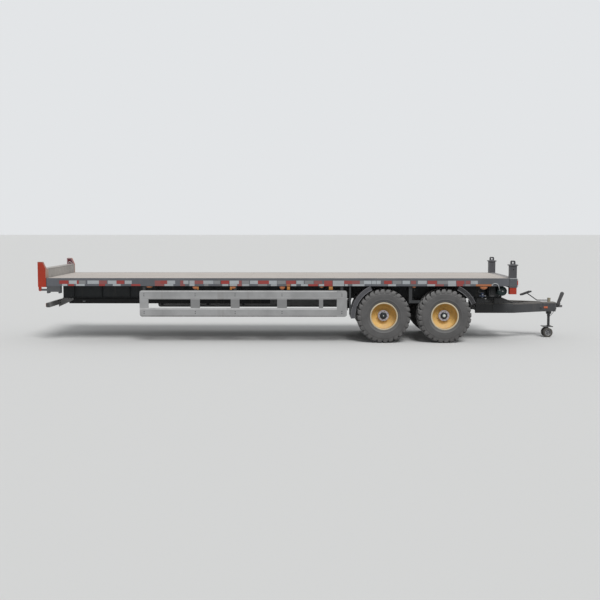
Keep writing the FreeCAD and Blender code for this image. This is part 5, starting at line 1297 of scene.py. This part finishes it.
def spring_clamps():
    """U-bolts over each spring, with the plates above and below, and their nuts."""
    springs_low, springs_high = lo_hi("leaf_springs")
    top = springs_low.z + 0.080
    spring, beam, plate, leg = springs_high.y - 0.045, 0.065, 0.018, 0.054
    bolts, plates, spots = Shape(), Shape(), []
    for axle in AXLES:
        centre = middle_of(f"hub_{axle}_left")
        under = centre.z - beam - plate
        for y in (spring, -spring):
            plates.block((centre.x - 0.098, y - 0.070, under),
                         (centre.x + 0.098, y + 0.070, under + plate), 0.004)
            plates.block((centre.x - 0.085, y - 0.045, top - 0.002),
                         (centre.x + 0.085, y + 0.045, top + 0.016), 0.004)
            for x in (centre.x - 0.077, centre.x + 0.077):
                bow = [(x, y - leg * math.cos(turn), top + 0.004 + 0.021 * math.sin(turn))
                       for turn in arc(0, 180, 10)]
                bolts.tube([(x, y - leg, under - 0.03), *bow, (x, y + leg, under - 0.03)],
                           0.0085, 10)
                spots += [((x, y + shift, under), -Z, 0.015) for shift in (leg, -leg)]
    piece("u_bolts", bolts, "galvanised", "chassis")
    piece("spring_plates", plates, "spring_steel", "chassis")
    return spots


def brake_gear():
    """Camshafts with their collars, and the clamp, studs and cap of each brake chamber."""
    shafts, bands, spots = Shape(), Shape(), []
    for axle in AXLES:
        centre = middle_of(f"hub_{axle}_left")
        cam_x, cam_z = centre.x - 0.100, centre.z + 0.012
        face, chamber = centre.x - 0.195, 0.26
        for side in (1, -1):
            shafts.rod((cam_x, side * 0.24, cam_z), (cam_x, side * 0.786, cam_z), 0.0135, 14)
            for y in (0.35, 0.56, 0.72):
                shafts.turned([(-0.012, 0.0), (-0.012, 0.024), (0.012, 0.024), (0.012, 0.0)],
                              (cam_x, side * y, cam_z), sides=18, closed=False)
            y, z = side * chamber, centre.z
            bands.turned([(-0.016, 0.074), (-0.014, 0.082), (0.0, 0.0835), (0.014, 0.082),
                          (0.016, 0.074)], (face, y, z), axis="X", sides=40)
            bands.block((face - 0.014, y - 0.012, z + 0.078),
                        (face + 0.014, y + 0.012, z + 0.102))
            bands.rod((face + 0.06, y, z), (face + 0.072, y, z), 0.036, 20, 0.003)
            spots += [((face + 0.0605, y + a, z + b), X, 0.008)
                      for a in (0.04, -0.04) for b in (0.04, -0.04)]
            spots.append(((face, y + 0.012, z + 0.091), Y, 0.007))
    piece("brake_camshafts", shafts, "galvanised", "chassis")
    piece("chamber_clamps", bands, "galvanised", "chassis")
    return spots


def hanger_pins():
    """Spots for a nut on both faces of each spring hanger."""
    low, high = lo_hi("spring_hangers")
    middle = (low.x + high.x) / 2
    return [((middle + shift, side * face, low.z + 0.035), (0, side * out, 0), 0.016)
            for side in (1, -1) for shift in (-1.171, -0.042, 0.042, 1.171)
            for face, out in ((high.y, 1), (high.y - 0.124, -1))]


fasteners("axle_bolts", spring_clamps() + brake_gear() + hanger_pins(), "galvanised", "chassis",
          STUD_NUT)


# ------------------------------------------------------------------ chassis

def weld(shape, path, radius=0.006):
    """Rippled bead along a path of points."""
    route = [Vector(point) for point in path]
    for start, end in zip(route, route[1:]):
        count = max(2, int((end - start).length / 0.02))
        shape.tube([start.lerp(end, i / count) for i in range(count + 1)],
                   [radius * (1.0 + 0.22 * math.sin(2.4 * i)) for i in range(count + 1)], 6)


def beam_stiffeners():
    """A row of web stiffeners along the outer face of each main beam."""
    low, high = lo_hi("main_beams")
    count, end, flange = 16, 0.25, 0.013
    for name, side in SIDES.items():
        plate = Shape().block((low.x + end, side * 0.456, low.z + flange),
                              (low.x + end + 0.008, side * 0.497, high.z - flange), 0.0015)
        made = grown(ROW, plate.mesh_named("stiffener"), FINISHES["chassis_paint"], Count=count,
                     Step=Vector(((high.x - low.x - 2 * end) / (count - 1), 0, 0)), Seed=5)
        piece(f"beam_stiffeners_{name}", made, "chassis_paint", "chassis")


def weld_beads():
    """Beads on the drawbar's ties, head and hangers, and on the corner sleeves."""
    beads = Shape()
    leg_top = lo_hi("drawbar_legs")[1].z
    tie_low, tie_high = lo_hi("drawbar_ties")
    sleeve_low, sleeve_high = lo_hi("corner_sleeves")
    head_low, head_high = lo_hi("drawbar_head")
    hanger_low, hanger_high = lo_hi("drawbar_hangers")
    for side in (1, -1):
        y = side * tie_high.y
        for x in (tie_low.x, tie_high.x - 0.120):
            weld(beads, [(x, y, tie_low.z), (x, y, tie_high.z), (x + 0.12, y, tie_high.z),
                         (x + 0.12, y, tie_low.z), (x, y, tie_low.z)])
        y = side * (sleeve_high.y - 0.001)
        weld(beads, [(sleeve_low.x, y, sleeve_low.z + 0.032), (sleeve_low.x, y, sleeve_high.z)],
             0.005)
        x, y = head_low.x + 0.002, side * 0.127
        weld(beads, [(x, y, head_low.z + 0.004), (x, y, head_high.z),
                     (x, side * 0.03, head_high.z)], 0.007)
        # The two hangers on each side, then the plate in front of them.
        for x in (hanger_low.x, hanger_low.x + 0.400):
            for y in (side * 0.405, side * hanger_high.y):
                for z in (leg_top, hanger_high.z):
                    weld(beads, [(x, y, z), (x + 0.18, y, z)])
        front = hanger_low.x + 0.580
        for y in (side * 0.443, side * 0.457):
            weld(beads, [(front, y, leg_top), (front + 0.280, y, leg_top)], 0.005)
    piece("weld_beads", beads, "drawbar_paint", "chassis")


def drawbar_plates():
    """Cover plates and side plates along the drawbar legs, and flanged braces on them."""
    low, high = lo_hi("drawbar_legs")
    plates, braces, sides = Shape(), Shape(), Shape()
    bend, tip = low.x + 0.840, lo_hi("drawbar_head")[0].x + 0.002
    cover, rear, front = high.z + 0.006, low.x + 0.195, low.x + 0.598
    for side in (1, -1):
        leg = side * 0.45
        outline = [(low.x, 0.398), (bend, 0.398), (tip, 0.031), (tip, 0.132), (bend + 0.02, 0.502),
                   (low.x, 0.502)]
        plates.plate([(x, side * y) for x, y in outline], high.z - 0.002, cover, axis="Z",
                     bevel=0.0015)
        for start, wide, rise in ((rear, 0.225, 0.112), (front, 0.285, 0.118)):
            line = [(start, cover + rise + 0.009), (start + wide, cover + 0.010),
                    (start + wide, cover), (start, cover + rise)]
            braces.plate(line, leg - 0.030, leg + 0.030, bevel=0.0015)
        sides.block((low.x + 0.380, side * 0.499, low.z + 0.003),
                    (low.x + 0.835, side * 0.505, high.z - 0.003), 0.0015)
        web = [(rear, high.z), (rear, high.z + 0.112), (rear + 0.225, high.z)]
        braces.plate(web, leg - 0.005, leg + 0.005)
    piece("leg_cover_plates", plates, "drawbar_paint", "chassis", finish=PLATE_GREY)
    piece("leg_side_plates", sides, "drawbar_paint", "chassis", finish=SIDE_GREY)
    piece("brace_flanges", braces, "drawbar_paint", "chassis", finish=BRACE_GREY)


beam_stiffeners()
weld_beads()
drawbar_plates()


# ------------------------------------------------------------------ front corners

def front_corners():
    """Mouth collars of the corner sleeves, and the bolts of the striped board and sleeves."""
    low, high = lo_hi("corner_sleeves")
    board_low, board_high = lo_hi("front_board")
    mouths, outer = Shape(), 0.0865
    for name in SIDES:
        middle = middle_of(f"corner_post_{name}")
        mouths.framed((middle.x - outer, middle.y - outer, high.z - 0.012),
                      (middle.x + outer, middle.y + outer, high.z + 0.002), 0.011, 0.0015)
    piece("sleeve_mouths", mouths, "rail_paint", "chassis", finish=PALE_EDGE)
    count, end = 9, 0.06
    step = (board_high.y - board_low.y - 2 * end) / (count - 1)
    spots = [((board_high.x, board_low.y + end + i * step, z), X) for i in range(count)
             for z in (board_low.z + 0.025, board_high.z - 0.025)]
    spots += [((x, side * high.y, z), (0, side, 0), 0.012) for side in (1, -1)
              for x in (low.x + 0.045, high.x - 0.045) for z in (low.z + 0.04, high.z - 0.045)]
    fasteners("front_bolts", spots, "rail_paint", "chassis", size=0.009)


def post_details(name):
    """Cap, eye cheeks, cap bolts and pin bushes of one corner post."""
    body, middle = f"post_{name}", middle_of(f"corner_post_{name}")
    low, high = lo_hi(f"corner_post_{name}")
    half, z = 0.0975, low.z + 0.48
    cap = Shape().framed((middle.x - half, middle.y - half, z - 0.006),
                         (middle.x + half, middle.y + half, z + 0.015), 0.012, 0.003)
    cap.block((middle.x - 0.058, middle.y - 0.040, z + 0.010),
              (middle.x + 0.058, middle.y + 0.040, z + 0.016), 0.002)
    piece(f"post_cap_{name}", cap, "post_paint", body, finish=CAP_GREY)
    cheeks, top, foot, wide, neck = Shape(), high.z - 0.0005, z + 0.014, 0.050, 0.036
    outline = [(middle.x - wide, foot), (middle.x + wide, foot), (middle.x + wide, top - 0.022),
               (middle.x + neck, top), (middle.x - neck, top), (middle.x - wide, top - 0.022)]
    for side in (1, -1):
        cheeks.holed(outline, (middle.x, top - 0.046), 0.026, middle.y + side * 0.026,
                     middle.y + side * 0.034)
    piece(f"eye_cheeks_{name}", cheeks, "post_paint", body)
    corners = [((middle.x + a, middle.y + b, z + 0.012), Z) for a in (-0.072, 0.072)
               for b in (-0.072, 0.072)]
    fasteners(f"cap_bolts_{name}", corners, "galvanised", body, size=0.010)
    bush = Shape()
    for side in (1, -1):  # sunk in the post, so that it slides clear
        bush.turned([(-0.014, 0.0120), (-0.0006, 0.0120), (-0.0006, 0.0159), (-0.014, 0.0159)],
                    place_of(f"post_pin_{name}") + Y * side * 0.074, sides=28, way=side)
    piece(f"pin_bushes_{name}", bush, "galvanised", body)


front_corners()
for side in SIDES:
    post_details(side)


# ------------------------------------------------------------------ tank, box and valve

def tank_details(bright):
    """Seams, domed ends and drain of the air tank; small fittings join the bright ones."""
    low, high = lo_hi("air_tank")
    radius, drain = 0.100, low.y + 0.28
    x, z = high.x - 0.125, lo_hi("side_rails")[0].z - 0.014 - radius
    seams = Shape()
    for y in (low.y + 0.035, high.y - 0.035):
        seams.turned([(-0.006, radius - 0.001), (-0.004, radius + 0.004), (0.004, radius + 0.004),
                      (0.006, radius - 0.001)], (x, y, z))
    for y, way in ((low.y, -1), (high.y, 1)):
        seams.turned([(0.0, radius - 0.002), (0.010, radius - 0.012), (0.020, radius - 0.035),
                      (0.026, radius - 0.065), (0.028, 0.0)], (x, y, z), closed=False, way=way)
    piece("tank_seams", seams, "tank_paint", "chassis")
    under = z - radius
    bright.rod((x, low.y - 0.026, z), (x, low.y - 0.044, z), 0.017, 6)
    bright.rod((x, drain, under + 0.004), (x, drain, under - 0.022), 0.012, 8)
    bright.tube([(x, drain, under - 0.018), (x - 0.03, drain, under - 0.026)], 0.004, 8)


def tool_box():
    """Lid with its raised panel, ribbed ends and latch of the tool box."""
    low, high = lo_hi("tool_box")
    y = low.y
    lid = Shape().framed((low.x - 0.001, y - 0.009, low.z),
                         (high.x + 0.001, y + 0.003, low.z + 0.258), 0.018, 0.003, "Y")
    lid.block((low.x + 0.035, y - 0.007, low.z + 0.05), (high.x - 0.035, y + 0.003, low.z + 0.20))
    for x in (low.x, high.x):
        for rib in range(4):
            start = y + 0.06 + rib * 0.09
            lid.block((x - 0.004, start, low.z + 0.02), (x + 0.004, start + 0.03, high.z - 0.02))
    latch = Shape().block((low.x + 0.055, y - 0.017, low.z + 0.222),
                          (low.x + 0.085, y - 0.006, low.z + 0.252))
    latch.rod((low.x + 0.03, y - 0.010, low.z + 0.006), (low.x + 0.11, y - 0.010, low.z + 0.006),
              0.006, 12)
    piece("tool_box_lid", lid, "box_plastic", "chassis")
    piece("tool_box_latch", latch, "galvanised", "chassis")


def relay_valve(bright):
    """Bracket under the cross member behind the tool box, and the body of the valve on it."""
    box, top = lo_hi("tool_box")[0], lo_hi("cross_members")[0].z + 0.002
    x, y, foot = box.x - 0.223, box.y - 0.015, top - 0.189
    bracket = Shape().block((x - 0.004, y - 0.03, foot + 0.005), (x + 0.004, y + 0.03, top),
                            0.002)
    bracket.block((x - 0.004, y - 0.03, foot), (x + 0.10, y + 0.03, foot + 0.008), 0.002)
    axis, base = x + 0.075, foot - 0.095
    upper, lower = base + 0.050, base + 0.022
    body = Shape().turned([(0.0, 0.0), (0.0, 0.034), (0.012, 0.038), (0.028, 0.038), (0.032, 0.030),
                           (0.070, 0.028), (0.074, 0.036), (0.086, 0.036), (0.094, 0.020),
                           (0.096, 0.0)], (axis, y, base), axis="Z", sides=28, closed=False)
    body.rod((axis, y - 0.062, upper), (axis, y + 0.062, upper), 0.014, 12)
    body.rod((axis - 0.060, y, lower), (axis + 0.060, y, lower), 0.012, 12)
    bright.rod((axis, y, base - 0.012), (axis, y, base + 0.002), 0.016, 6)
    bright.rod((axis, y - 0.060, upper), (axis, y - 0.072, upper), 0.014, 6)
    bright.rod((axis + 0.058, y, lower), (axis + 0.075, y, lower), 0.014, 6)
    return bracket, body


def duct_pipes():
    """Three pipes on the line duct, held by straps."""
    low, high = lo_hi("line_duct")
    runs, top, radius = Shape(), low.z + 0.110, 0.0115
    for y in (-0.036, 0.0, 0.036):
        runs.rod((low.x + 0.012, y, top + radius - 0.001),
                 (high.x - 0.012, y, top + radius - 0.001), radius, 12, 0.002)
    count, end = 9, 0.30
    for strap in range(count):
        x = low.x + end + strap * (high.x - low.x - 2 * end) / (count - 1)
        runs.block((x, low.y - 0.003, top - 0.030), (x + 0.030, high.y + 0.003, top + 0.026),
                   0.006)
    # Near-black pipes and straps: painted shade under the deck.
    piece("duct_pipes", runs, "chassis_paint", "chassis", finish=DUCT_DARK)


def looped_pipe():
    """Pale air pipe that loops down off the right rail to the tank, with a nut at each end."""
    rail, tank = lo_hi("side_rails")[0].y, lo_hi("air_tank")[0].y
    radius = 0.0105
    y = rail - radius
    route = [(3.972, rail + 0.004, 1.262), (3.985, y, 1.280), (4.030, y, 1.299),
             (4.080, y, 1.286), (4.108, y, 1.252), (4.122, y + 0.012, 1.215),
             (4.140, y + 0.060, 1.178), (4.158, tank - 0.014, 1.150)]
    pipe = Shape().tube(curved(route), radius)
    for (x, _, z), start, end in ((route[0], rail, rail - 0.016),
                                  (route[-1], tank + 0.004, tank - 0.022)):
        pipe.rod((x, start, z), (x, end, z), 0.016, 6)
    piece("looped_air_pipe", pipe, "galvanised", "chassis", finish=PALE_EDGE)


def duct_clip():
    """Bright clip round the line duct."""
    low, high = lo_hi("line_duct")
    clip = Shape().block((low.x + 0.300, low.y - 0.006, low.z + 0.040),
                         (low.x + 0.360, high.y + 0.006, low.z + 0.062))
    piece("duct_clip", clip, "galvanised", "chassis", finish=BRIGHT_ZINC)


bright_fittings = Shape()
tank_details(bright_fittings)
valve_bracket, valve_body = relay_valve(bright_fittings)
piece("bright_fittings", bright_fittings, "galvanised", "chassis", finish=BRIGHT_ZINC)
tool_box()
piece("valve_bracket", valve_bracket, "galvanised", "chassis")
piece("relay_valve", valve_body, "box_plastic", "chassis", finish=VALVE_BLUE)
duct_pipes()
looped_pipe()
duct_clip()


# ------------------------------------------------------------------ drawbar nose

def pillow(outline, levels):
    """Outline in x and z, drawn in towards its middle at each (y, inset) level."""
    shape, middle = Shape(), sum(outline, Vector((0, 0))) / len(outline)
    rows = []
    for y, inset in levels:
        spots = [middle + (spot - middle) * (1 - inset / (spot - middle).length)
                 for spot in outline]
        rows.append(shape.level(spots, y, "Y"))
    return shape.skin(rows, ends=True)


def lever():
    """Rounded hand lever with its quadrant and pivot pin."""
    low, high = lo_hi("handbrake_lever")
    foot, tip = Vector((low.x + 0.036, low.z + 0.040)), Vector((high.x - 0.044, high.z - 0.045))
    lean = tip - foot
    base = math.atan2(-lean.x, lean.y)  # square to the lever
    outline = [end + radius * Vector((math.cos(base + turn), math.sin(base + turn)))
               for end, radius, turns in ((tip, 0.043, arc(0, 180, 14)),
                                          (foot, 0.034, arc(180, 360, 12))) for turn in turns]
    edge = [(0.0, 0.014), (0.003, 0.006), (0.008, 0.0015), (0.013, 0.0)]
    levels = ([(low.y + depth, inset) for depth, inset in edge]
              + [(high.y - depth, inset) for depth, inset in reversed(edge)])
    piece("hand_lever", pillow(outline, levels), "galvanised", "chassis", ["handbrake_lever"],
          finish=LEVER_GREY)
    fan = [(foot.x + radius * math.cos(turn), foot.y + radius * math.sin(turn))
           for radius, turns in ((0.062, arc(-50, 100, 12)), (0.020, arc(100, -50, 8)))
           for turn in turns]
    fittings = Shape().plate(fan, high.y + 0.002, high.y + 0.010)
    fittings.block((low.x - 0.015, high.y + 0.001, low.z - 0.005),
                   (low.x + 0.045, high.y + 0.011, low.z + 0.055))
    piece("lever_quadrant", fittings, "galvanised", "chassis")
    fasteners("lever_bolts", [((foot.x, low.y, foot.y), -Y, 0.013)], "galvanised", "chassis",
              STUD_NUT)


def head_details():
    """Bolts, reflectors and lifting eyes of the drawbar head, and the jack's pin pull."""
    low, high = lo_hi("drawbar_head")
    eye_low, eye_high = lo_hi("towing_eye")
    lamps, rings, bosses = Shape(), Shape(), Shape()
    spots = [((eye_low.x + 0.020, y, z), X, 0.013) for y in (-0.058, 0.058)
             for z in (eye_low.z + 0.025, eye_high.z - 0.025)]
    for side in (1, -1):
        y = side * high.y
        lamps.block((low.x + 0.035, y - side * 0.002, low.z + 0.072),
                    (low.x + 0.125, y + side * 0.010, low.z + 0.116), 0.005)
        # Lifting eye near the end of the slanting leg, square to its outer face.
        out = Vector((0.447, side * 0.894, 0.0))
        spot = Vector((low.x - 0.035, side * 0.1475, low.z + 0.083))
        bosses.rod(spot - out * 0.006, spot + out * 0.008, 0.038, 32, 0.003)
        rings.rod(spot + out * 0.004, spot + out * 0.0095, 0.025, 28, 0.002)
        spots += [((x, y, z), (0, side, 0), 0.012) for x in (low.x + 0.175, high.x - 0.04)
                  for z in (low.z + 0.045, high.z - 0.045)]
    piece("nose_reflectors", lamps, "amber_lens", "chassis", finish=NOSE_ORANGE)
    piece("nose_bosses", bosses, "drawbar_paint", "chassis", finish=HANGER_GREY)
    piece("nose_rings", rings, "drawbar_paint", "chassis", finish=CAP_BLACK)
    x, y, jack_foot = low.x + 0.290, -0.035, lo_hi("jack_housing")[0].z
    pull = Shape().tube(curved([(x, y, low.z + 0.003), (x - 0.028, y + 0.005, low.z - 0.050),
                                (x - 0.076, y + 0.023, jack_foot + 0.014)]), 0.006, 10)
    pull.rod((x, y, low.z - 0.010), (x, y, low.z + 0.002), 0.013, 6)
    piece("jack_pin_pull", pull, "galvanised", "chassis", finish=BRIGHT_ZINC)
    fasteners("nose_bolts", spots, "drawbar_paint", "chassis")


def jack_head():
    """Lid and clamp bolts of the jack, and the ribbed sleeve over its crank's grip."""
    low, high = lo_hi("jack_housing")
    axis, top = (low.x + high.x) / 2, high.z
    lid = Shape().turned([(0.0, 0.0355), (0.002, 0.0385), (-0.016, 0.0385), (-0.018, 0.0355)],
                         (axis, 0, top), axis="Z", sides=36)
    lid.turned([(0.0, 0.0), (0.0, 0.030), (0.004, 0.028), (0.007, 0.012), (0.008, 0.0)],
               (axis, 0, top - 0.0005), axis="Z", sides=28, closed=False)
    piece("jack_lid", lid, "jack_zinc", "chassis")
    clamp, plate = 0.0585, 0.047
    spots = [((axis + clamp * math.cos(turn), clamp * math.sin(turn), low.z + 0.092),
              (math.cos(turn), math.sin(turn), 0)) for turn in arc(30, 330, 5)]
    spots += [((axis + plate * math.cos(turn), plate * math.sin(turn), low.z + 0.0625), -Z)
              for turn in arc(0, 300, 5)]
    fasteners("jack_bolts", spots, "galvanised", "chassis", size=0.008)
    start, lean, count = Vector((axis - 0.440, 0, top + 0.154)), math.radians(110), 30
    along = Vector((-math.sin(lean), 0, math.cos(lean)))
    radii = [0.0212 + (0.0022 if i % 3 == 1 else 0.0) - (0.004 if i in (0, count) else 0.0)
             for i in range(count + 1)]
    grip = Shape().tube([start + along * (0.004 + 0.232 * i / count) for i in range(count + 1)],
                        radii, 18)
    piece("crank_grip", grip, "galvanised", "chassis", finish=GRIP_RUBBER)


def jockey_wheels():
    """Grooved and barred rubber tyres on pressed discs, their bolts and the axle's ends."""
    low, high = lo_hi("jack_wheels")
    centre, radius, near, far = (low + high) / 2, (high.z - low.z) / 2, 0.030, high.y
    rubber = FINISHES["jockey_rubber"]
    treads = []
    for groove in range(5):
        y = near + 0.014 + groove * 0.0142
        treads += [(y, radius), (y + 0.0085, radius), (y + 0.0095, radius - 0.004),
                   (y + 0.0132, radius - 0.004)]
    section = [(near, 0.066), (near, radius - 0.020), (near + 0.004, radius - 0.008),
               (near + 0.010, radius - 0.001), *treads[:-2], (far - 0.008, radius - 0.002),
               (far - 0.002, radius - 0.012), (far, radius - 0.024), (far - 0.002, 0.070),
               (far - 0.006, 0.066)]
    disc = [(near + 0.004, 0.0685), (near + 0.004, 0.060), (near + 0.024, 0.052),
            (near + 0.026, 0.026), (near + 0.004, 0.024), (near + 0.002, 0.0115),
            (far - 0.004, 0.0115), (far - 0.004, 0.024), (near + 0.046, 0.028),
            (near + 0.044, 0.054), (far - 0.008, 0.061), (far - 0.005, 0.0685)]
    tyres, discs, bars, ends, spots = Shape(), Shape(), Shape(), Shape(), []
    for side in (1, -1):
        tyres.turned(section, centre, sides=64, way=side)
        discs.turned(disc, centre, way=side)
        # Bars stand at the top of a wheel about the origin; the ring tree carries them round.
        bars.block((-0.0035, side * 0.040, radius - 0.010),
                   (0.0035, side * 0.110, radius - 0.0028), 0.0)
        spots += round_axle(centre + Y * side * (near + 0.045), 0.041, arc(90, -198, 4), side)
        ends.turned([(0.0, 0.0), (0.0, 0.019), (0.003, 0.019), (0.003, 0.0)],
                    centre + Y * side * (far - 0.0045), sides=20, closed=False, way=side)
    tyre = tyres.mesh_named("jockey_tyres")
    tyre.materials.append(rubber)
    ring = grown(RING, bars.mesh_named("jockey_bars"), rubber, Count=36, Centre=centre)
    piece("jockey_tyres", joined(tyre, ring), "jockey_rubber", "jockey_wheels", ["jack_wheels"])
    piece("jockey_discs", discs, "galvanised", "jockey_wheels", finish=BRIGHT_ZINC)
    fasteners("jockey_bolts", spots, "galvanised", "jockey_wheels", size=0.007)
    piece("jockey_axle_ends", ends, "galvanised", "jack_caster")
    plate = lo_hi("jack_fork")[1].z - 0.001
    corners = [((centre.x + a, b, plate), Z) for a in (0.085, -0.085) for b in (0.085, -0.085)]
    fasteners("caster_bolts", corners, "galvanised", "jack_caster", size=0.009)


lever()
head_details()
jack_head()
jockey_wheels()


# ------------------------------------------------------------------ camera, light and floor

def seen_directly(tree):
    """1 for what the camera sees straight on or in a reflection, 0 for light on the trailer."""
    rays = tree.nodes.new("ShaderNodeLightPath").outputs
    mirrored = calc(tree, "MAXIMUM", rays["Is Glossy Ray"], rays["Is Transmission Ray"])
    return calc(tree, "MAXIMUM", rays["Is Camera Ray"], mirrored)


def studio():
    """Camera beyond the right side, a soft key over it, an even sky and a pale floor."""
    scene = bpy.context.scene
    lens = bpy.data.cameras.new("camera")
    lens.sensor_width, lens.lens, lens.clip_end = 36.0, 55.7, 400.0
    camera = placed("camera", lens)
    camera.location = (0.05, -21.25, 2.556)
    camera.rotation_euler = (math.radians(90 - 4.62), 0.0, math.radians(0.617))
    scene.camera = camera

    lamp = bpy.data.lights.new("key", "SUN")
    lamp.energy, lamp.angle = 2.05, math.radians(24)
    placed("key", lamp).rotation_euler = (math.radians(44), 0.0, math.radians(14))

    scene.world = bpy.data.worlds.new("sky")
    scene.world.use_nodes = True
    tree = scene.world.node_tree
    sky = tree.nodes["Background"].inputs
    sky["Color"].default_value = (0.96, 0.98, 1.0, 1.0)
    tree.links.new(fade(tree, seen_directly(tree), 0.0, 1.0, 0.46, 0.80), sky["Strength"])

    cover = bpy.data.materials.new("pale_floor")
    cover.use_nodes = True
    tree = cover.node_tree
    shader = tree.nodes["Principled BSDF"].inputs
    shader["Roughness"].default_value = 0.95
    shader["Specular IOR Level"].default_value = 0.1
    tree.links.new(tint(tree, seen_directly(tree), rgb((0.30, 0.30, 0.30)),
                        rgb((0.72, 0.72, 0.71))), shader["Base Color"])
    mesh = bpy.data.meshes.new("floor")
    mesh.from_pydata([(-150, -60, 0), (150, -60, 0), (150, 220, 0), (-150, 220, 0)], [],
                     [(0, 1, 2, 3)])
    mesh.materials.append(cover)
    placed("floor", mesh)
    scene.view_settings.view_transform = "Standard"


studio()

for tool in TOOLS:
    bpy.data.objects.remove(tool)
